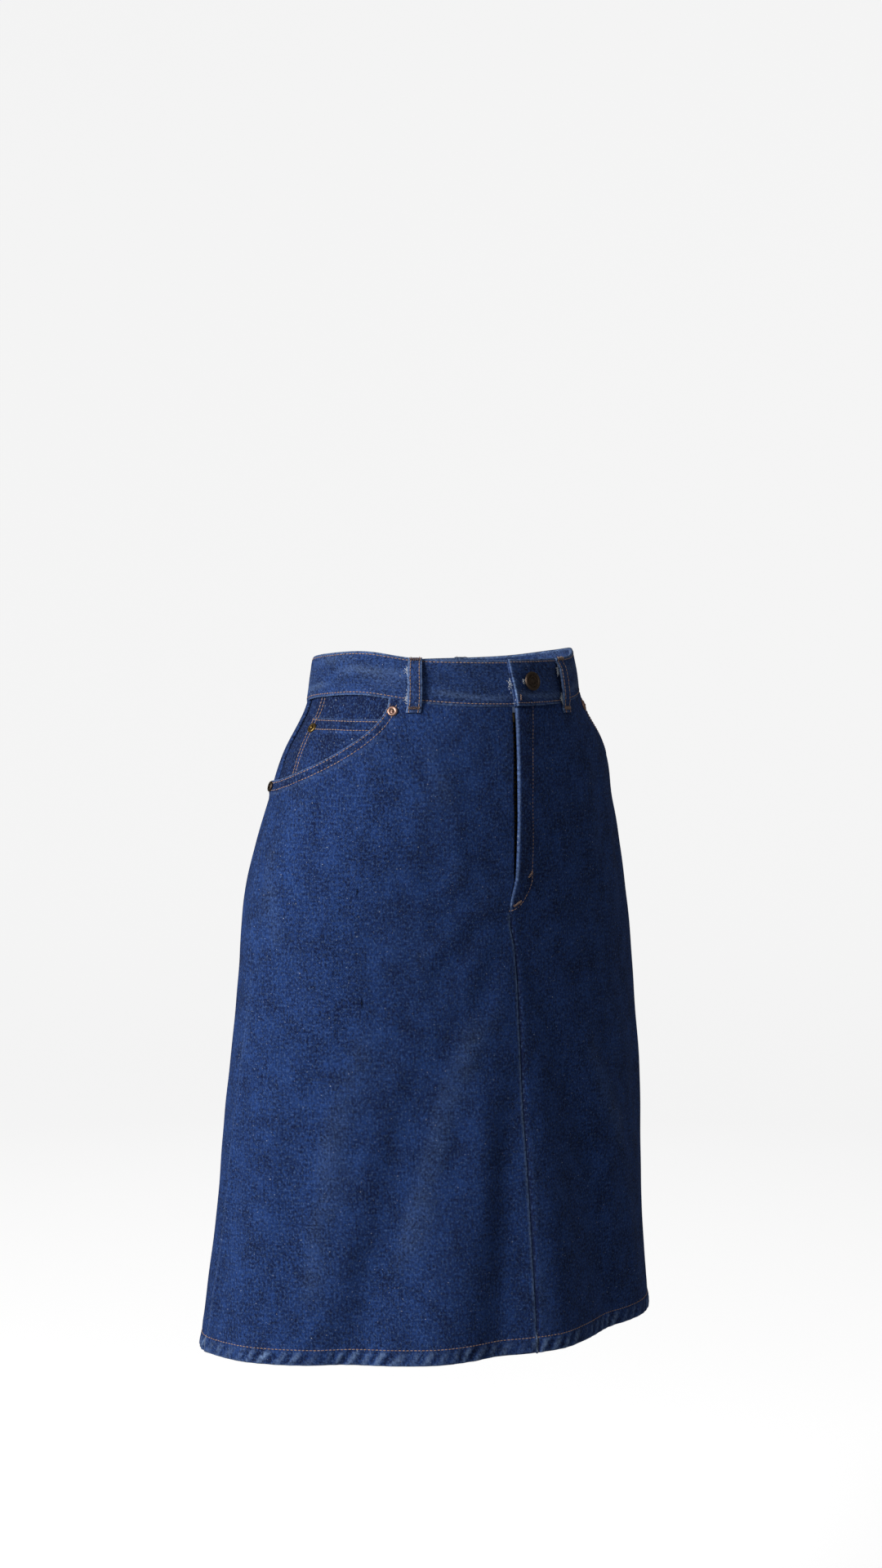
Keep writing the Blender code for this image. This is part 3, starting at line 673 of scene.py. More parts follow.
def cloth_sheet(name, turn, height, out, wear, threads, wall=CLOTH_WALL,
                finishes=("denim_right_side", "denim_wrong_side")):
    """A sheet through a grid of places [column, row], columns in the order of rising turn and rows
    downwards, so that its right side faces out; its thickness goes inwards."""
    if turn[0, 0] > turn[-1, 0]:
        turn, height, out, wear = turn[::-1], height[::-1], out[::-1], wear[::-1]
        threads = threads[::-1]
    columns, rows = turn.shape
    points = cloth(turn, height, out).reshape(-1, 3) * MM
    corner = (np.arange(columns - 1)[:, None] * rows + np.arange(rows - 1)).reshape(-1)
    quads = np.stack([corner, corner + 1, corner + rows + 1, corner + rows], -1)
    mesh = bpy.data.meshes.new(name)
    mesh.from_pydata(points.tolist(), [], quads.tolist())
    # Fading, and below 0 painted shade and a darker tone, for the denim's colour.
    mesh.attributes.new("wear_and_shade", "FLOAT", "POINT").data.foreach_set("value", wear.reshape(-1))
    corners = np.empty(len(mesh.loops), int)
    mesh.loops.foreach_get("vertex_index", corners)
    uv = threads.reshape(-1, 2)[corners] * MM
    mesh.uv_layers.new(name="threads").data.foreach_set("uv", uv.reshape(-1))
    mesh.shade_smooth()
    made = link(name, mesh, *finishes)
    thicken = made.modifiers.new("wall", "SOLIDIFY")
    thicken.thickness = wall * MM
    thicken.offset = -1.0
    thicken.use_even_offset = False
    thicken.material_offset = len(finishes) - 1
    thicken.material_offset_rim = 0
    return made


def settle(made, nodes):
    """Says what a finished piece rides on, and hides the frame's parts that it stands for."""
    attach(made, BODY)
    if nodes:
        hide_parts(*nodes)
    return made


def grid(turn_columns, height_columns):
    return np.array(turn_columns, float), np.array(height_columns, float)


def threads_of(turn, height, start=0.0, crosswise=False):
    """Where each place lies on the cut cloth: across the warp and along it, in millimetres."""
    across = girth_to(turn, np.clip(height, HEM, BAND_TOP), start)
    pair = (height, across) if crosswise else (across, height)
    return np.stack(pair, -1)


def panel_rows(top):
    """How far down each row of a panel lies, from its top edge to the line where the hem is turned."""
    bottom = HEM + HEM_TURN_UP + 2.0
    edge = np.linspace(0.0, 14.0, 13)
    rest = 14.0 + (top - bottom - 14.0) * np.linspace(0.0, 1.0, 92)[1:] ** 1.12
    return top - np.concatenate([edge, rest])


# The last rows of a panel: down the hem, round its fold and up the inside. Height above the hem, and
# how far in from the surface.
HEM_ROUTE = (
    (13.5, 0.0), (12.0, 0.0), (10.4, 0.0), (8.7, 0.0), (7.0, 0.0), (5.3, 0.0), (3.7, 0.0), (2.2, 0.0),
    (1.1, -0.1), (0.4, -0.55), (0.1, -1.2), (0.1, -1.8), (0.5, -2.4), (1.3, -2.75), (3.0, -2.8),
    (6.0, -2.8), (9.5, -2.8), (13.0, -2.8),
)


def panel_grid(top_turns, top_heights, inner_edge, outer_edge):
    """Turns, heights and how far in each place of a panel is turned, keeping its share of the width."""
    turns, heights, turned_in = [], [], []
    for turn, top in zip(top_turns, top_heights):
        column = np.concatenate([panel_rows(top), [HEM + above for above, _ in HEM_ROUTE]])
        inwards = np.concatenate([np.zeros(len(panel_rows(top))), [depth for _, depth in HEM_ROUTE]])
        share = np.clip((turn - inner_edge(top)) / (outer_edge(top) - inner_edge(top)), 0.0, 1.0)
        turns.append(inner_edge(column) + share * (outer_edge(column) - inner_edge(column)))
        heights.append(column)
        turned_in.append(inwards)
    return np.array(turns), np.array(heights), np.array(turned_in)


# How a cut edge is turned in: how far back from the fold, and how far under it, in millimetres.
SEAM_TURNING = ((0.0, -0.5), (0.0, -1.1), (0.5, -2.0), (4.0, -2.3))
FLY_TURNING = ((-0.2, -0.75), (-0.25, -1.5), (0.15, -2.3), (1.2, -2.9), (4.5, -3.1), (9.0, -3.1))


def with_turning(turn, height, out, wear, route, at_start, above_fly_only=False):
    """Adds columns past a panel's first or last one, that turn its cloth in behind the fold."""
    edge = 0 if at_start else -1
    inwards = np.sign(turn[1 if at_start else -2, 0] - turn[edge, 0])
    share = 0.06 + 0.94 * eased((height[edge] - HEM - HEM_TURN_UP) / 12.0)
    if above_fly_only:
        share = share * (0.35 + 0.65 * eased((height[edge] - FLY_BASE) / 26.0))
    added = []
    for back, under in route:
        shift = inwards * back * share / mm_per_turn(turn[edge], height[edge])
        fade_and_shade = wear[edge] * max(1 + under * 0.45, 0.1)
        added.append((turn[edge] + shift, height[edge], out[edge] + under * share, fade_and_shade))
    added = [np.array(each) for each in zip(*added)]
    if at_start:
        return [np.concatenate([new[::-1], old]) for new, old in zip(added, (turn, height, out, wear))]
    return [np.concatenate([old, new]) for new, old in zip(added, (turn, height, out, wear))]


# ---------------------------------------------------------------- stitches and threads
def rows_group(name, numbers):
    """A node group that takes rows of joined edges, some named numbers and a thread."""
    tree = bpy.data.node_groups.new(name, "GeometryNodeTree")
    kinds = [("Geometry", "Geometry")] + [(label, "Float") for label in numbers] + [("Thread", "Material")]
    for label, kind in kinds:
        tree.interface.new_socket(label, in_out="INPUT", socket_type="NodeSocket" + kind)
    tree.interface.new_socket("Geometry", in_out="OUTPUT", socket_type="NodeSocketGeometry")
    given = add_node(tree, "NodeGroupInput").outputs
    rows = add_node(tree, "GeometryNodeMeshToCurve", {"Mesh": given["Geometry"]}).outputs[0]
    return tree, given, rows


def end_group(tree, shape, thread):
    """Ends a node group with plain, smooth geometry in one thread."""
    real = add_node(tree, "GeometryNodeRealizeInstances", {0: shape}).outputs[0]
    smooth = add_node(tree, "GeometryNodeSetShadeSmooth", {"Geometry": real}).outputs[0]
    painted = add_node(tree, "GeometryNodeSetMaterial", {"Geometry": smooth, "Material": thread})
    add_node(tree, "NodeGroupOutput", {0: painted.outputs[0]})
    return tree


def stitch_tree():
    """Geometry Nodes: one capsule of thread for each stitch along rows of joined edges."""
    name = "stitches_along_rows"
    if name in bpy.data.node_groups:
        return bpy.data.node_groups[name]
    tree, given, rows = rows_group(name, ("Pitch", "Length", "Thickness"))
    points = add_node(tree, "GeometryNodeResampleCurve", {"Curve": rows, "Length": given["Pitch"]},
                      mode="LENGTH").outputs[0]
    half_length, half_thick = [
        add_node(tree, "ShaderNodeMath", {0: given[label], 1: 0.5}, operation="MULTIPLY").outputs[0]
        for label in ("Length", "Thickness")]
    size = add_node(tree, "ShaderNodeCombineXYZ", {0: half_length, 1: half_thick, 2: half_thick}).outputs[0]
    ball = add_node(tree, "GeometryNodeMeshUVSphere", {"Segments": 8, "Rings": 5, "Radius": 1.0}).outputs[0]
    on_side = add_node(tree, "GeometryNodeTransform",
                       {"Geometry": ball, "Rotation": (0.0, math.pi / 2, 0.0)}).outputs[0]
    stitch = add_node(tree, "GeometryNodeTransform", {"Geometry": on_side, "Scale": size}).outputs[0]
    tangent = add_node(tree, "GeometryNodeInputTangent").outputs[0]
    turn = add_node(tree, "FunctionNodeAlignRotationToVector", {"Vector": tangent}, axis="X").outputs[0]
    vary = add_node(tree, "FunctionNodeRandomValue",
                    {"Min": (0.9, 0.85, 0.85), "Max": (1.05, 1.1, 1.1), "Seed": 3},
                    data_type="FLOAT_VECTOR").outputs[0]
    placed = add_node(tree, "GeometryNodeInstanceOnPoints",
                      {"Points": points, "Instance": stitch, "Rotation": turn, "Scale": vary}).outputs[0]
    return end_group(tree, placed, given["Thread"])


def thread_tree():
    """Geometry Nodes: a round thread of one thickness along rows of joined edges."""
    name = "threads_along_rows"
    if name in bpy.data.node_groups:
        return bpy.data.node_groups[name]
    tree, given, rows = rows_group(name, ("Thickness",))
    radius = add_node(tree, "ShaderNodeMath", {0: given["Thickness"], 1: 0.5},
                      operation="MULTIPLY").outputs[0]
    profile = add_node(tree, "GeometryNodeCurvePrimitiveCircle",
                       {"Resolution": 5, "Radius": radius}).outputs[0]
    tube = add_node(tree, "GeometryNodeCurveToMesh",
                    {"Curve": rows, "Profile Curve": profile, "Fill Caps": True}).outputs[0]
    return end_group(tree, tube, given["Thread"])


def rows_mesh(name, rows):
    """Rows of points in millimetres as one mesh of joined edges."""
    points, edges = [], []
    for row in rows:
        start = len(points)
        points += [tuple(point) for point in np.asarray(row) * MM]
        edges += [(start + step, start + step + 1) for step in range(len(row) - 1)]
    mesh = bpy.data.meshes.new(name)
    mesh.from_pydata(points, edges, [])
    return mesh


def grown(name, mesh, tree, inputs):
    """Runs a node tree on a mesh and keeps the result as a plain mesh object."""
    source = bpy.data.objects.new(name + "_rows", mesh)
    bpy.context.scene.collection.objects.link(source)
    modifier = source.modifiers.new("grow", "NODES")
    modifier.node_group = tree
    for item in tree.interface.items_tree:
        if item.in_out == "INPUT" and item.name in inputs:
            modifier[item.identifier] = inputs[item.name]
    graph = bpy.context.evaluated_depsgraph_get()
    result = bpy.data.meshes.new_from_object(source.evaluated_get(graph))
    bpy.data.objects.remove(source)
    result.name = name
    made = bpy.data.objects.new(name, result)
    bpy.context.scene.collection.objects.link(made)
    return made


def stitched(name, rows, pitch=None):
    """Topstitching along rows of points."""
    inputs = {"Pitch": pitch or sizes().stitch_pitch, "Length": sizes().stitch_length,
              "Thickness": sizes().thread_thickness, "Thread": finish("topstitch_thread")}
    made = grown(name, rows_mesh(name, rows), stitch_tree(), inputs)
    return settle(made, [])


def threaded(name, rows, thickness, thread):
    inputs = {"Thickness": thickness * MM, "Thread": finish(thread)}
    made = grown(name, rows_mesh(name, rows), thread_tree(), inputs)
    return settle(made, [])


THREAD_RISE = 0.12      # a stitch lies in the cloth with this much of its middle above the surface


def front_row(turn, height, left_front):
    return cloth(turn, height, front_out(turn, height, left_front) + THREAD_RISE)


def bar_tack(turn, height, out, lean, length, width, passes=13):
    """A bar tack: close zigzags over a line through its middle. lean turns it from upright, in degrees."""
    along = np.linspace(-length / 2, length / 2, passes)
    across = np.where(np.arange(passes) % 2 == 0, -width / 2, width / 2)
    cosine, sine = math.cos(math.radians(lean)), math.sin(math.radians(lean))
    sideways = across * cosine + along * sine
    upwards = along * cosine - across * sine
    return cloth(turn + sideways / mm_per_turn(turn, height), height + upwards, out + 0.3)


def frayed_ends(place_turn, place_height, out, spread, count, random):
    """Short loose cotton ends that stand out from a rubbed corner."""
    rows = []
    for _ in range(count):
        turn = place_turn + random.normal(0.0, 0.5 * spread) / mm_per_turn(place_turn, place_height)
        height = place_height + random.normal(0.0, 1.5 * spread)
        drift = random.normal(0.0, 1.2, 2)
        steps = np.linspace(0.0, 1.0, 5)
        curl = random.uniform(-1.0, 1.0)
        rows.append(cloth(turn + (drift[0] * steps + curl * steps * steps) / mm_per_turn(turn, height),
                          height + drift[1] * steps, out + 0.2 + 0.7 * np.sin(steps * 2.4)))
    return rows


# ---------------------------------------------------------------- panels
FRONT_UNDER_BAND, FACING_UNDER_BAND = 1.2, 3.5      # how far each runs up behind the waistband


def front_edge(side):
    def edge(height):
        stand_back = line(FLY_OPENING, height) if side == RIGHT else 0.0
        return line(FRONT_LINE, height) - stand_back + side * 0.01
    return edge


def side_edge(side, more):
    return lambda height: side * (line(SIDE_SEAM, height) + more)


def scoop_top(angle, more=0.0):
    """Turn and height along the scoop, more millimetres out from its edge."""
    far = 1 + more / scoop_reach(angle)
    turn = SCOOP_CENTRE - SCOOP_WIDTH_TURN * far * np.cos(angle)
    return turn, band_edge(turn, "sewn") - SCOOP_DEPTH * far * np.sin(angle)


def add_front(side, word):
    start = SCOOP_CENTRE - SCOOP_WIDTH_TURN
    first = side * front_edge(side)(BAND_SEAM)
    straight = np.concatenate([first + np.array([0.0, 0.25, 0.5]), np.linspace(first + 1.0, start, 54)])
    scoop, scoop_heights = scoop_top(np.radians(np.linspace(0.0, 90.0, 66))[1:])
    tops = np.concatenate([band_edge(straight, "sewn") + FRONT_UNDER_BAND, scoop_heights])
    top_turns = side * np.concatenate([straight, scoop])
    turn, height, turned_in = panel_grid(top_turns, tops, front_edge(side), side_edge(side, -0.01))
    left_front = side == LEFT
    level = np.maximum(height, HEM + 0.4)
    out = front_out(turn, level, left_front) + turned_in
    wear = wear_and_shade(turn, level, True, left_front) * (turned_in > -2.0)
    turning = FLY_TURNING if left_front else SEAM_TURNING
    turn, height, out, wear = with_turning(turn, height, out, wear, turning, True, left_front)
    turn, height, out, wear = with_turning(turn, height, out, wear, SEAM_TURNING, False)
    made = cloth_sheet("front_panel_" + word, turn, height, out, wear, threads_of(turn, height))
    settle(made, ["front_" + word, "hem_front_" + word])


def add_back(side, word):
    first, last = SIDE_SEAM[0][1] + 0.01, 179.99
    top_turns = side * np.concatenate([np.linspace(first, last - 0.6, 92), [last - 0.3, last]])
    tops = band_edge(top_turns, "sewn") - 0.1
    turn, height, turned_in = panel_grid(top_turns, tops, side_edge(side, 0.01), lambda level: side * 179.99)
    level = np.maximum(height, HEM + 0.4)
    out = panel_relief(turn, level) + turned_in
    wear = wear_and_shade(turn, level, False) * (turned_in > -2.0)
    turn, height, out, wear = with_turning(turn, height, out, wear, SEAM_TURNING, True)
    turn, height, out, wear = with_turning(turn, height, out, wear, SEAM_TURNING, False)
    made = cloth_sheet("back_panel_" + word, turn, height, out, wear, threads_of(turn, height, side * 180.0))
    settle(made, ["back_" + word, "hem_back_" + word])


class DENIMSKIRT_OT_panels(bpy.types.Operator):
    """Make the two fronts and two backs, with their turned hems"""
    bl_idname = "denim_skirt.panels"
    bl_label = "Panels"

    def execute(self, context):
        for side, word in ((RIGHT, "right"), (LEFT, "left")):
            add_front(side, word)
            add_back(side, word)
        return {"FINISHED"}


# ---------------------------------------------------------------- waistband and loops
def band_out(turn_round):
    """How far the band's outer surface stands off; the turn runs on past a whole circle."""
    climb = eased((turn_round - (360.0 - UNDERLAP_TURN - 2.0 - OVERLAP_EASE)) / OVERLAP_EASE)
    free_end = eased((turn_round - (360.0 - UNDERLAP_TURN)) / (UNDERLAP_TURN - OVERLAP_TURN))
    return BAND_OUT + (BAND_WALL + SEAM_GAP) * climb + OVERLAP_LIFT * free_end


def band_relief(turn, down, up):
    """The band's rolled edges and the fine puckers between its rows; down and up are the distances
    from its top and from its sewn edge."""
    girth = girth_to(turn, 0.0)
    pucker = np.sin(girth * 0.62 + 0.9 * np.sin(girth * 0.11)) * (0.6 + 0.4 * np.sin(girth * 0.047))
    near_rows = bell(down - 5.0, 4.0) + bell(up - 5.5, 4.5)
    rolled = -0.5 * bell(down, 0.9) - 0.55 * bell(up, 0.9)
    rows = -0.24 * (bell(down - BAND_TOP_ROW, 0.8) + bell(up - BAND_SEAM_ROW, 0.8))
    slow = 0.5 * np.sin(girth * 0.052 + 1.0) * np.sin((down - 12.0) * 0.14) + 0.25 * np.sin(girth * 0.021)
    return rolled + rows + 0.24 * pucker * near_rows + slow


def band_streaks(turn, down, up):
    """The long pale rubs along the band, with darker cloth between them."""
    girth = girth_to(turn, 0.0)
    upper = bell(down - 13.0 - 3.0 * np.sin(girth * 0.035), 4.0) * eased(np.sin(girth * 0.041 + 0.6) + 0.3)
    lower = bell(up - 9.0 - 1.5 * np.sin(girth * 0.06), 2.4) * eased(np.sin(girth * 0.03 + 2.2) + 0.5)
    return 0.22 * upper + 0.26 * lower


BAND_ROWS = 29


def slanted(turn_round, part):
    """The turn by which the band's free end leans, so that its top corner reaches furthest."""
    return (1.6 * part - 1.0) * eased((turn_round - 357.0) / 6.0)


def flared(turn_round, part):
    """How much further the free end stands off towards its sewn edge, which is bulkier."""
    return (0.4 + 2.6 * part) * eased((turn_round - 356.0) / 7.0)


def add_waistband():
    """One strip that starts at its underlap, goes round the wearer's right and back, and laps over it."""
    turn_round = np.concatenate([np.linspace(-UNDERLAP_TURN, 342.0, 330),
                                 np.linspace(342.5, 360.0 - OVERLAP_TURN - 0.6, 42),
                                 [360.0 - OVERLAP_TURN - 0.3, 360.0 - OVERLAP_TURN]])
    part = (1 - np.cos(np.linspace(0.0, math.pi, BAND_ROWS))) / 2 * 0.5 + np.linspace(0.0, 0.5, BAND_ROWS)
    end = 360.0 - OVERLAP_TURN - turn_round[:, None]
    turn = -turn_round[:, None] + slanted(turn_round[:, None], part)
    top, sewn = band_edge(turn, "top"), band_edge(turn, "sewn")
    height = top + (sewn - top) * part
    down, up = top - height, height - sewn
    out = band_out(turn_round)[:, None] + band_relief(turn, down, up) - 0.5 * bell(end, 0.3)
    out = out + flared(turn_round[:, None], part)
    wear = 0.62 * bell(down, 1.5) + 0.55 * bell(up, 1.1) + 0.85 * bell(end, 0.45) \
        + 0.18 * eased(band_relief(turn, down, up) * 1.5) + 0.04 + band_streaks(turn, down, up)
    # The end's own face: the folded layers, which spread apart towards the sewn edge.
    for depth in (0.25, 0.6, 1.0):
        turn = np.concatenate([turn, turn[-1:] + (0.2 if depth < 0.9 else 0.0)])
        height = np.concatenate([height, height[-1:]])
        out = np.concatenate([out, out[-1:] - (0.35 if depth < 0.9 else 0.3) * (4.2 + 3.2 * part)])
        wear = np.concatenate([wear, wear[-1:] * 0.0 + (-0.05 if depth < 0.9 else 0.6)])
    order = slice(None, None, -1)
    threads = threads_of(turn, height, crosswise=True)
    made = cloth_sheet("waistband_strip", turn[order], height[order], out[order],
                       np.clip(wear, -1, 1)[order], threads[order], BAND_WALL, ("denim_right_side",))
    settle(made, ["waistband"])


def band_row(turn_round, from_top=None, from_seam=None):
    turn = -turn_round
    top, sewn = band_edge(turn, "top"), band_edge(turn, "sewn")
    height = top - from_top if from_top is not None else sewn + from_seam
    relief = band_relief(turn, top - height, height - sewn)
    part = (top - height) / (top - sewn)
    turn = turn + slanted(turn_round, part)
    return cloth(turn, height, band_out(turn_round) + relief + flared(turn_round, part) + THREAD_RISE)


def loop_turn(node):
    """The turn at which a belt loop's middle lies, from its box."""
    middle = middle_mm(node)
    turns = np.linspace(-180.0, 180.0, 1441)
    ringed = ring(turns, middle.z, folded=False)
    return float(turns[np.argmin(np.hypot(ringed[:, 0] - middle.x, ringed[:, 1] - middle.y))])


LOOPS = ("belt_loop_front_right", "belt_loop_front_left", "belt_loop_back_right",
         "belt_loop_back_left", "belt_loop_centre_back")
LOOP_WIDTH, LOOP_WALL, LOOP_BELOW_SEAM, LOOP_RISE = 12.0, 1.9, 9.0, 3.2
LOOP_SOLID_WALL = 2.2
LOOP_ON_BAND = BAND_OUT + LOOP_SOLID_WALL + SEAM_GAP


def loop_route(turn):
    """Heights and how far out a loop runs, from its top fold over the belt space to its foot."""
    top, sewn = band_edge(turn, "top"), band_edge(turn, "sewn")
    foot = sewn - LOOP_BELOW_SEAM
    knots = (
        (top + 0.2, LOOP_ON_BAND - 0.4), (top - 1.5, LOOP_ON_BAND + 0.3), (top - 4.0, LOOP_ON_BAND + 0.2),
        (top - 9.0, LOOP_ON_BAND + LOOP_RISE * 0.75), ((top + sewn) / 2, LOOP_ON_BAND + LOOP_RISE),
        (sewn + 7.0, LOOP_ON_BAND + LOOP_RISE * 0.8), (sewn - 1.0, 4.3), (sewn - 4.5, 3.0), (foot, 3.2),
    )
    places = np.linspace(0.0, 1.0, len(knots))
    table_height = [(place, float(knot[0])) for place, knot in zip(places, knots)]
    table_out = [(place, float(knot[1])) for place, knot in zip(places, knots)]
    steps = np.linspace(0.0, 1.0, 40)
    return curve(table_height, steps), curve(table_out, steps)


def add_belt_loop(node):
    turn = loop_turn(node)
    heights, outs = loop_route(turn)
    half = LOOP_WIDTH / 2
    across = np.array([-half, -half + 0.25, -half + 0.9, -half + 2.2, -half + 3.4, -1.2, 0.0,
                       1.2, half - 3.4, half - 2.2, half - 0.9, half - 0.25, half])
    rolled = -0.5 * bell(np.abs(across) - half, 0.55) - 0.16 * bell(np.abs(across) - half + LOOP_ROW, 0.7)
    crown = 0.25 * (1 - (across / half) ** 2)
    turns = turn + across[:, None] / mm_per_turn(turn, 0.0) + 0 * heights
    height = heights + 0 * turns
    pucker = 0.12 * np.sin(heights * 1.1 + across[:, None] * 0.4)
    out = outs + (rolled + crown)[:, None] + pucker
    wear = 0.9 * bell(np.abs(across) - half, 1.2)[:, None] + 0.3 * bell(heights - heights[0], 2.0) \
        + 0.25 * bell(heights - heights[-1], 1.5) + 0.06
    threads = np.stack([across[:, None] + 0 * heights + turn * 3.0, height], -1)
    made = cloth_sheet(node + "_strip", turns, height, out, np.clip(wear, 0, 1), threads, LOOP_WALL,
                       ("denim_right_side",))
    settle(made, [node])


class DENIMSKIRT_OT_waist(bpy.types.Operator):
    """Make the waistband and its belt loops"""
    bl_idname = "denim_skirt.waist"
    bl_label = "Waistband and loops"

    def execute(self, context):
        add_waistband()
        for node in LOOPS:
            add_belt_loop(node)
        return {"FINISHED"}


# ---------------------------------------------------------------- pockets


def facing_relief(turn, height):
    uneven = 0.35 * np.sin(turn * 0.16 + 0.5) * np.sin(height * 0.05)
    return uneven - 0.3 * bell(scoop_distance(turn, height), 5.0)


def add_pocket_facing(side, word):
    """The layer seen inside the pocket opening, tucked under the front beyond the scoop."""
    angle = np.radians(np.linspace(15.0, 90.0, 44))
    turns, heights = [], []
    for each in angle:
        turn = SCOOP_CENTRE - (SCOOP_WIDTH_TURN + 6.0) * math.cos(each)
        top = band_edge(turn, "sewn")
        height = np.linspace(top + FACING_UNDER_BAND, top - (SCOOP_DEPTH + FACING_TUCK) * math.sin(each), 34)
        turns.append(side * np.minimum(turn, line(SIDE_SEAM, height) - 0.05))
        heights.append(height)
    turn, height = grid(turns, heights)
    out = FACING_OUT + facing_relief(turn, height)
    # Darker than the fronts all over, and darker still just inside the scoop's edge: painted shade under the
    # front's edge.
    wear = -0.2 - 0.15 * bell(scoop_distance(turn, height), 5.0)
    made = cloth_sheet("pocket_facing_layer_" + word, turn, height, out, wear,
                       threads_of(turn, height, side * 30.0))
    settle(made, ["pocket_facing_" + word])


def coin_relief(turn, height):
    """The patch's folded top with its hem and two rows, and a slight unevenness."""
    from_top = COIN_TOP - height
    rows = -0.2 * sum(bell(from_top - row, 0.8) for row in COIN_ROWS)
    uneven = 0.25 * np.sin(turn * 0.4) * np.sin(height * 0.11)
    return rows + uneven - 0.5 * bell(from_top, 0.8) + 0.3 * (1 - eased((from_top - 11.0) / 1.2))


def add_coin_pocket():
    turns, heights = [], []
    for turn in np.linspace(COIN_INNER_TURN, COIN_OUTER_TURN, 52):
        across = (SCOOP_CENTRE - turn) / SCOOP_WIDTH_TURN
        scoop = band_edge(turn, "sewn") - SCOOP_DEPTH * math.sqrt(max(1 - across * across, 0.0))
        bottom = min(scoop - COIN_TUCK, COIN_TOP - 6.0)
        turns.append(np.full(34, -turn))
        heights.append(np.linspace(COIN_TOP, bottom, 34))
    turn, height = grid(turns, heights)
    side_distance = (COIN_OUTER_TURN + turn) * 2.55
    out = coin_relief(turn, height) - 0.5 * bell(side_distance, 0.8)
    wear = 0.75 * bell(COIN_TOP - height, 1.0) + 0.55 * bell(side_distance, 1.0) \
        + 0.3 * bell(COIN_TOP - height - 11.5, 1.0) + 0.2 * bell(side_distance - 6.0, 2.0) - 0.17
    made = cloth_sheet("coin_pocket_patch", turn, height, out, np.clip(wear, -1, 1),
                       threads_of(turn, height, 13.0))
    settle(made, ["coin_pocket"])


class DENIMSKIRT_OT_pockets(bpy.types.Operator):
    """Make the pocket facings and the coin pocket"""
    bl_idname = "denim_skirt.pockets"
    bl_label = "Pockets"

    def execute(self, context):
        for side, word in ((RIGHT, "right"), (LEFT, "left")):
            add_pocket_facing(side, word)
        add_coin_pocket()
        return {"FINISHED"}


# ---------------------------------------------------------------- topstitching
def scoop_rows(side):
    rows = []
    for distance in POCKET_ROWS:
        angle = np.radians(np.linspace(4.0, 89.0, 120))
        turn, height = scoop_top(angle, distance)
        rows.append(front_row(side * turn, height, side == LEFT))
    return rows


def fly_rows():
    """The J: straight down beside the fly, then round to its foot."""
    heights = np.linspace(BAND_SEAM - 1.0, J_BEND, 60)
    bend = np.radians(np.linspace(0.0, 90.0, 26))[1:]
    height = np.concatenate([heights, J_BEND - (J_BEND - FLY_BASE) * np.sin(bend)])
    reach = curve(J_REACH, height) * np.concatenate([np.ones(60), np.cos(bend)])
    turn = line(FRONT_LINE, height) + reach / mm_per_turn(0.0, height)
    return [front_row(turn, height, True)]


def coin_rows():
    rows = []
    for depth in COIN_ROWS:
        turn = np.linspace(-COIN_INNER_TURN - 2.5, -COIN_OUTER_TURN + 0.8, 60)
        height = COIN_TOP - depth + 0.0 * turn
        rows.append(cloth(turn, height, coin_relief(turn, height) + THREAD_RISE))
    for inset in COIN_SIDE_ROWS:
        height = np.linspace(COIN_TOP - 1.5, -82.0, 40)
        turn = -COIN_OUTER_TURN + inset / mm_per_turn(-90.0, height)
        rows.append(cloth(turn, height, coin_relief(turn, height) + THREAD_RISE))
    for inset in (0.5, 4.5):
        height = np.linspace(band_edge(-90.0, "sewn") - 1.0, COIN_TOP + 1.5, 12)
        turn = -COIN_OUTER_TURN + inset / mm_per_turn(-90.0, height) + (height - COIN_TOP) * 0.04
        rows.append(cloth(turn, height, FACING_OUT + facing_relief(turn, height) + THREAD_RISE))
    return rows


def hem_rows():
    rows = []
    height = HEM + HEM_TURN_UP
    for low, high, front in ((-90.6, -0.2, True), (0.2, 90.6, True), (91.4, 268.6, False)):
        turn = np.linspace(low, high, 420)
        out = front_out(turn, height, turn[0] > 0) if front else panel_relief(turn, height)
        rows.append(cloth(turn, height, out + THREAD_RISE))
    return rows


def band_rows():
    turn_round = np.linspace(0.5, 360.0 - OVERLAP_TURN - 0.8, 900)
    return [band_row(turn_round, from_top=BAND_TOP_ROW), band_row(turn_round, from_seam=BAND_SEAM_ROW)]


def loop_rows():
    rows = []
    for node in LOOPS:
        turn = loop_turn(node)
        heights, outs = loop_route(turn)
        for across in (-LOOP_WIDTH / 2 + LOOP_ROW, LOOP_WIDTH / 2 - LOOP_ROW):
            place = turn + across / mm_per_turn(turn, 0.0)
            pucker = 0.12 * np.sin(heights * 1.1 + across * 0.4)
            rows.append(cloth(place, heights, outs + pucker + 0.1 + THREAD_RISE)[1:-1])
    return rows


def bar_tacks():
    tacks = []
    for node in LOOPS:
        turn = loop_turn(node)
        heights, outs = loop_route(turn)
        for index in (4, -5):
            tacks.append(bar_tack(turn, heights[index], outs[index] + 0.6, 90.0, 9.5, 2.6, 19))
    foot_turn = float(line(FRONT_LINE, FLY_BASE))
    tacks.append(bar_tack(foot_turn + 1.9, FLY_BASE + 6.0, 3.0, 62.0, 9.0, 2.0, 17))
    tacks.append(bar_tack(3.6, -165.0, 2.6, 38.0, 6.5, 1.8, 13))
    foot_out = float(band_out(np.float64(360.4))) + float(flared(np.float64(360.4), 0.85))
    tacks.append(bar_tack(-0.9, BAND_SEAM + 7.0, foot_out + 0.4, 4.0, 4.5, 1.2, 9))
    for side in (LEFT, RIGHT):
        turn, height = scoop_top(math.radians(7.0), 4.5)
        tacks.append(bar_tack(side * turn, height, 2.2, 80.0, 7.0, 1.6, 13))
    return tacks


HOLE_TURN, HOLE_HALF, HOLE_INNER, HOLE_OUTER, HOLE_STITCHES = 5.2, 7.0, 0.5, 2.1, 74


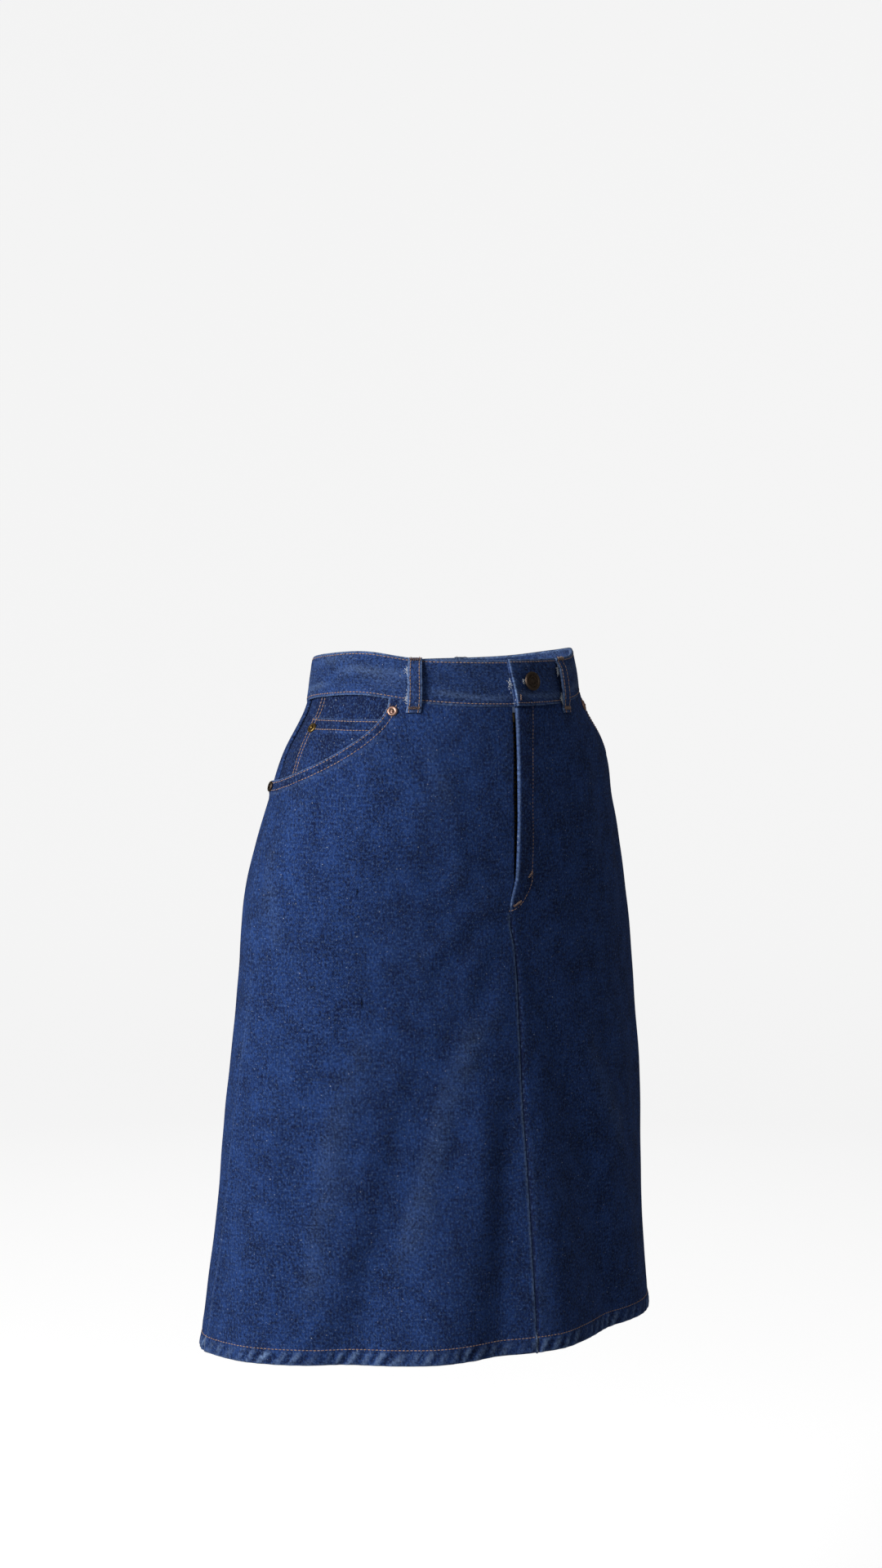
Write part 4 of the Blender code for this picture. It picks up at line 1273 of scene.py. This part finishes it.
def buttonhole():
    """Satin stitches round the slot that the button's shank passes through."""
    steps = np.arange(HOLE_STITCHES + 1)
    angle = 2 * math.pi * steps / HOLE_STITCHES
    sine, cosine = np.sin(angle), np.cos(angle)
    reach = np.where(steps % 2 == 0, HOLE_INNER, HOLE_OUTER)
    along = HOLE_HALF * np.clip(1.6 * cosine, -1.0, 1.0) + reach * cosine
    turn = HOLE_TURN + along / float(mm_per_turn(0.0, 0.0))
    upwards = reach * np.sign(sine) * np.minimum(np.abs(sine) * 2.2, 1.0)
    height = middle_mm("waist_button").z + upwards
    out = band_out(360.0 - turn) + band_relief(turn, BAND_TOP - height, height - BAND_SEAM) + 0.75
    return [cloth(turn, height, out)]


class DENIMSKIRT_OT_stitching(bpy.types.Operator):
    """Sew the topstitching, bar tacks and buttonhole"""
    bl_idname = "denim_skirt.stitching"
    bl_label = "Topstitching"

    def execute(self, context):
        stitched("pocket_topstitching", scoop_rows(RIGHT) + scoop_rows(LEFT))
        stitched("fly_topstitching", fly_rows())
        stitched("coin_pocket_topstitching", coin_rows(), 2.9 * MM)
        stitched("hem_topstitching", hem_rows())
        stitched("waistband_topstitching", band_rows())
        stitched("belt_loop_topstitching", loop_rows(), 2.9 * MM)
        threaded("bar_tacks", bar_tacks(), 0.75, "topstitch_thread")
        threaded("buttonhole_stitches", buttonhole(), 0.5, "frayed_cotton")
        return {"FINISHED"}


class DENIMSKIRT_OT_frays(bpy.types.Operator):
    """Add the frayed cotton ends at the loops and the buttonhole"""
    bl_idname = "denim_skirt.frays"
    bl_label = "Frayed ends"

    def execute(self, context):
        random = np.random.default_rng(sizes().fray_seed)
        rows = []
        for node in LOOPS:
            turn = loop_turn(node)
            edge = LOOP_WIDTH / 2 / float(mm_per_turn(turn, 0.0))
            top, sewn = float(band_edge(turn, "top")), float(band_edge(turn, "sewn"))
            rows += frayed_ends(turn - edge, top - 11.0, 2.9, 1.7, 44, random)
            rows += frayed_ends(turn - edge, sewn + 3.0, 2.7, 1.6, 40, random)
        rows += frayed_ends(-4.2, -1.0, ON_OVERLAP - 1.2, 1.6, 24, random)
        rows += frayed_ends(-2.2, -17.0, ON_OVERLAP - 0.5, 1.0, 8, random)
        threaded("frayed_ends", rows, 0.36, "frayed_cotton")
        return {"FINISHED"}


# ---------------------------------------------------------------- zip and metal
ZIP_TURN = 1.0          # the chain lies behind the fly's folded edge
SLIDER_TURN = -1.9
TAPE_WIDTH, TAPE_WALL, TAPE_OUT = 27.0, 0.8, -5.1
TOOTH_WIDTH, TOOTH_WALL, TOOTH_OUT = 3.3, 1.1, -4.0
TOOTH_SIDE_TURN = 0.95 / 2.2        # how far each tooth stands towards its own tape
SLIDER_BLOCKS = (
    # above its middle, out, size, bevel
    (0.0, -2.6, (3.4, 8.6, 1.3), 0.5),
    (0.6, -1.5, (1.6, 5.6, 1.2), 0.4),
    (-1.4, -1.0, (1.8, 5.0, 0.5), 0.2),
)


def tape_grid(top, bottom):
    """Places on the tape as columns of a sheet, and how far across it they lie."""
    height = np.linspace(top, bottom, 60)
    across = np.linspace(-TAPE_WIDTH / 2, TAPE_WIDTH / 2, 15)[:, None]
    turn = line(FRONT_LINE, height) + ZIP_TURN + across / mm_per_turn(0.0, height)
    return turn, height + 0 * turn, across + 0 * turn


def brass_piece(name, blocks, node):
    """A brass piece of bevelled blocks, each with its turn, level, out, size and bevel."""
    shape = bmesh.new()
    for block in blocks:
        add_block(shape, *block)
    mesh = bpy.data.meshes.new(name)
    shape.to_mesh(mesh)
    shape.free()
    settle(link(name, mesh, "aged_brass"), [node])


def add_zip():
    """The tape, two rows of interlocked teeth and the slider, seen through the fly's opening."""
    low, high = box_mm("zip_tape")
    turn, height, across = tape_grid(high.z, low.z)
    threads = np.stack([across, height], -1)
    tape = cloth_sheet("zip_tape_woven", turn, height, TAPE_OUT + 0 * turn, 0 * turn, threads, TAPE_WALL,
                       ("navy_tape",))
    settle(tape, ["zip_tape"])
    low, high = box_mm("zip_chain")
    pitch = sizes().tooth_pitch / MM
    teeth = []
    for step in range(int((high.z - low.z) / pitch)):
        side = 1 if step % 2 == 0 else -1
        level = high.z - pitch * (step + 0.5)
        turn = float(line(FRONT_LINE, level)) + ZIP_TURN + side * TOOTH_SIDE_TURN
        teeth.append((turn, level, TOOTH_OUT, (TOOTH_WIDTH, pitch * 1.02, TOOTH_WALL), 0.22))
    brass_piece("zip_teeth", teeth, "zip_chain")
    low, high = box_mm("zip_slider")
    middle = (low.z + high.z) / 2
    brass_piece("zip_slider_body", [(SLIDER_TURN, middle + above, out, size, bevel)
                                    for above, out, size, bevel in SLIDER_BLOCKS], "zip_slider")


def place_matrix(turn, height, out):
    """Puts a piece that was made round +Z on the cloth, facing out, in metres."""
    point = Vector(cloth(turn, height, out).tolist()) * MM
    normal = Vector(surface_normal(np.float64(turn), np.float64(height)).tolist())
    return Matrix.Translation(point) @ normal.to_track_quat("Z", "Y").to_matrix().to_4x4()


def add_block(bm, turn, level, out, size, bevel):
    """A bevelled block on the cloth: size across, up and out, in millimetres."""
    place = place_matrix(turn, level, out)
    cube = bmesh.ops.create_cube(bm, size=1.0, matrix=Matrix.Diagonal((*[s * MM for s in size], 1.0)))
    edges = list({edge for vertex in cube["verts"] for edge in vertex.link_edges})
    made = bmesh.ops.bevel(bm, geom=edges, offset=bevel * MM, segments=2, affect="EDGES", profile=0.6)
    corners = {vertex for face in made["faces"] for vertex in face.verts}
    corners |= {vertex for vertex in cube["verts"] if vertex.is_valid}
    bmesh.ops.transform(bm, matrix=place, verts=list(corners))


def turned_piece(name, profile, finish_name, matrix, steps=40):
    """A round piece turned from a profile of (radius, rise) in millimetres, outer side first."""
    mesh = bpy.data.meshes.new(name)
    points = [(radius * MM, 0.0, rise * MM) for radius, rise in profile]
    mesh.from_pydata(points, [(step, step + 1) for step in range(len(points) - 1)], [])
    blank = bpy.data.objects.new(name + "_blank", mesh)
    bpy.context.scene.collection.objects.link(blank)
    spin = blank.modifiers.new("turning", "SCREW")
    spin.steps = spin.render_steps = steps
    spin.use_merge_vertices = True
    spin.merge_threshold = 0.00003
    graph = bpy.context.evaluated_depsgraph_get()
    result = bpy.data.meshes.new_from_object(blank.evaluated_get(graph))
    bpy.data.objects.remove(blank)
    result.transform(matrix)
    result.shade_smooth()
    result.set_sharp_from_angle(angle=math.radians(38))
    return link(name, result, finish_name)


def add_studs(made, matrix, radius, rise, count, size):
    """A ring of small raised beads stamped on a round piece."""
    bm = bmesh.new()
    bm.from_mesh(made.data)
    for step in range(count):
        angle = 2 * math.pi * step / count
        spot = Matrix.Translation((radius * MM * math.cos(angle), radius * MM * math.sin(angle), rise * MM))
        bmesh.ops.create_icosphere(bm, subdivisions=1, radius=size * MM,
                                   matrix=matrix @ spot @ Matrix.Diagonal((1.0, 1.0, 0.6, 1.0)))
    bm.to_mesh(made.data)
    bm.free()


def add_button():
    """A shank button: a domed cap in a rolled rim, stamped with a plain ring of beads."""
    low, high = box_mm("waist_button")
    radius = (high.z - low.z) / 2
    matrix = place_matrix(BUTTON_TURN, (low.z + high.z) / 2, ON_OVERLAP + OVERLAP_LIFT * 0.5 + 0.5)
    profile = ((0.0, 3.35), (1.5, 3.45), (1.9, 3.15), (radius - 3.5, 3.05), (radius - 2.6, 3.15),
               (radius - 2.1, 3.75), (radius - 1.5, 3.95), (radius - 0.8, 3.8), (radius - 0.2, 3.3),
               (radius, 2.7), (radius - 0.3, 1.9), (radius - 2.0, 1.4), (3.2, 1.2), (3.0, 0.0), (0.0, 0.0))
    made = turned_piece("waist_button_cap", profile, "tarnished_bronze", matrix, 48)
    add_studs(made, matrix, radius - 4.4, 3.1, 18, 0.45)
    settle(made, ["waist_button"])


BUTTON_TURN = 5.1
RIVET_PROFILE = (
    # radius, rise
    (0.0, 1.9), (0.7, 1.8), (1.15, 1.4), (1.25, 0.2), (1.95, 0.1), (2.15, 0.9), (2.9, 1.15), (3.7, 1.15),
    (4.4, 0.8), (4.7, 0.2), (4.7, -0.3), (0.0, -0.3),
)
RIVETS = (
    # node, finish, slot, turn, height
    ("rivet_front_right", "stamped_copper", "copper", -50.6, -23.0),
    ("rivet_front_left", "stamped_copper", "copper", 50.6, -23.0),
    ("rivet_side_right", "tarnished_bronze", "antique_bronze", -102.0, -91.0),
    ("rivet_side_left", "tarnished_bronze", "antique_bronze", 102.0, -91.0),
    ("rivet_coin", "aged_brass", "brass", -87.8, -38.5),
)


def add_rivets():
    """Stamped rivets: a burred ring with a nub of the nail showing in its middle."""
    for node, finish_name, slot, turn, height in RIVETS:
        if node == "rivet_coin":
            out = float(coin_relief(np.float64(turn), np.float64(height)))
        else:
            out = float(front_out(np.float64(turn), np.float64(height), turn > 0))
        matrix = place_matrix(turn, height, out + 0.1)
        made = turned_piece(node + "_stamped", RIVET_PROFILE, finish_name, matrix, 32)
        settle(made, [node])


class DENIMSKIRT_OT_metal(bpy.types.Operator):
    """Make the zip, the button and the rivets"""
    bl_idname = "denim_skirt.metal"
    bl_label = "Zip, button and rivets"

    def execute(self, context):
        add_zip()
        add_button()
        add_rivets()
        return {"FINISHED"}


# ---------------------------------------------------------------- stage
VIEW_TURN, VIEW_DISTANCE, VIEW_HEIGHT, VIEW_TILT = 35.5, 2.56, 0.086, 4.0
LENS, SENSOR = 65.9, 36.0
VIEW_SHIFT = 0.0006
FLOOR_HEIGHT, FLOOR_RADIUS, FLOOR_CURVE, WALL_HEIGHT = -1.05, 3.5, 2.5, 6.0
LIGHTS = (
    # name, azimuth, height, distance, size, power
    ("key_light", -84.0, 0.7, 2.6, (1.3, 1.6), 66.0),
    ("front_light", -20.0, 1.3, 3.2, (1.6, 1.6), 6.5),
    ("rim_light", 150.0, 1.2, 3.0, (1.6, 1.6), 3.0),
)
AIR_LIGHT = 0.14


def add_camera():
    camera = bpy.data.cameras.new("studio_camera")
    camera.sensor_fit = "VERTICAL"
    camera.sensor_height = SENSOR
    camera.lens = LENS
    camera.shift_x = VIEW_SHIFT
    made = bpy.data.objects.new("studio_camera", camera)
    angle = math.radians(VIEW_TURN)
    made.location = (-VIEW_DISTANCE * math.sin(angle), -VIEW_DISTANCE * math.cos(angle), VIEW_HEIGHT)
    made.rotation_euler = (math.radians(90.0 - VIEW_TILT), 0.0, -angle)
    bpy.context.scene.collection.objects.link(made)
    bpy.context.scene.camera = made


def add_light(name, azimuth, height, distance, size, power):
    """A square soft light that faces the skirt; azimuth 0 is straight in front, and + is its left."""
    light = bpy.data.lights.new(name, "AREA")
    light.shape = "RECTANGLE"
    light.size, light.size_y = size
    light.energy = power
    made = bpy.data.objects.new(name, light)
    angle = math.radians(azimuth)
    made.location = (distance * math.sin(angle), -distance * math.cos(angle), height)
    aim = Vector((0.0, 0.0, -0.3)) - Vector(made.location)
    made.rotation_euler = aim.to_track_quat("-Z", "Y").to_euler()
    bpy.context.scene.collection.objects.link(made)


def add_floor():
    """A round studio sweep: a floor that curves up into a wall all round."""
    steps = [(0.0, 0.0), (FLOOR_RADIUS, 0.0)]
    for step in range(1, 13):
        angle = math.pi / 2 * step / 12
        steps.append((FLOOR_RADIUS + FLOOR_CURVE * math.sin(angle), FLOOR_CURVE * (1 - math.cos(angle))))
    steps.append((FLOOR_RADIUS + FLOOR_CURVE, WALL_HEIGHT))
    mesh = bpy.data.meshes.new("studio_floor")
    points = [(radius, 0.0, FLOOR_HEIGHT + rise) for radius, rise in reversed(steps)]
    mesh.from_pydata(points, [(step, step + 1) for step in range(len(points) - 1)], [])
    made = link("studio_floor", mesh, "studio_paper")
    spin = made.modifiers.new("sweep", "SCREW")
    spin.steps = spin.render_steps = 96
    spin.use_smooth_shade = True
    spin.use_merge_vertices = True
    spin.merge_threshold = 0.0001
    made.visible_diffuse = False
    made.visible_glossy = False


class DENIMSKIRT_OT_stage(bpy.types.Operator):
    """Set up the floor, the lights and the camera"""
    bl_idname = "denim_skirt.stage"
    bl_label = "Stage"

    def execute(self, context):
        add_floor()
        for light in LIGHTS:
            add_light(*light)
        world = bpy.data.worlds.new("studio_air")
        world.use_nodes = True
        background = world.node_tree.nodes["Background"]
        background.inputs["Color"].default_value = (1.0, 1.0, 1.0, 1.0)
        background.inputs["Strength"].default_value = AIR_LIGHT
        context.scene.world = world
        context.scene.view_settings.view_transform = "Standard"
        add_camera()
        return {"FINISHED"}


class DENIMSKIRT_PT_pieces(bpy.types.Panel):
    bl_label = "Denim Skirt"
    bl_idname = "DENIMSKIRT_PT_pieces"
    bl_space_type = "VIEW_3D"
    bl_region_type = "UI"
    bl_category = "Denim Skirt"

    def draw(self, context):
        for group in (context.scene.denim_skirt_sizes, context.scene.denim_skirt_colours):
            for name in group.bl_rna.properties.keys():
                if name not in ("name", "rna_type"):
                    self.layout.prop(group, name)
        for operator in OPERATORS:
            self.layout.operator(operator.bl_idname)


OPERATORS = (DENIMSKIRT_OT_panels, DENIMSKIRT_OT_waist, DENIMSKIRT_OT_pockets, DENIMSKIRT_OT_stitching,
             DENIMSKIRT_OT_frays, DENIMSKIRT_OT_metal, DENIMSKIRT_OT_stage)
CLASSES = (DenimSkirtSizes, DenimSkirtColours, *OPERATORS, DENIMSKIRT_PT_pieces)


def register():
    for each in CLASSES:
        bpy.utils.register_class(each)
    bpy.types.Scene.denim_skirt_sizes = PointerProperty(type=DenimSkirtSizes)
    bpy.types.Scene.denim_skirt_colours = PointerProperty(type=DenimSkirtColours)


def unregister():
    del bpy.types.Scene.denim_skirt_sizes
    del bpy.types.Scene.denim_skirt_colours
    for each in reversed(CLASSES):
        bpy.utils.unregister_class(each)


def main():
    register()
    bpy.ops.denim_skirt.panels()
    bpy.ops.denim_skirt.waist()
    bpy.ops.denim_skirt.pockets()
    bpy.ops.denim_skirt.stitching()
    bpy.ops.denim_skirt.frays()
    bpy.ops.denim_skirt.metal()
    bpy.ops.denim_skirt.stage()


if __name__ == "__main__":
    main()
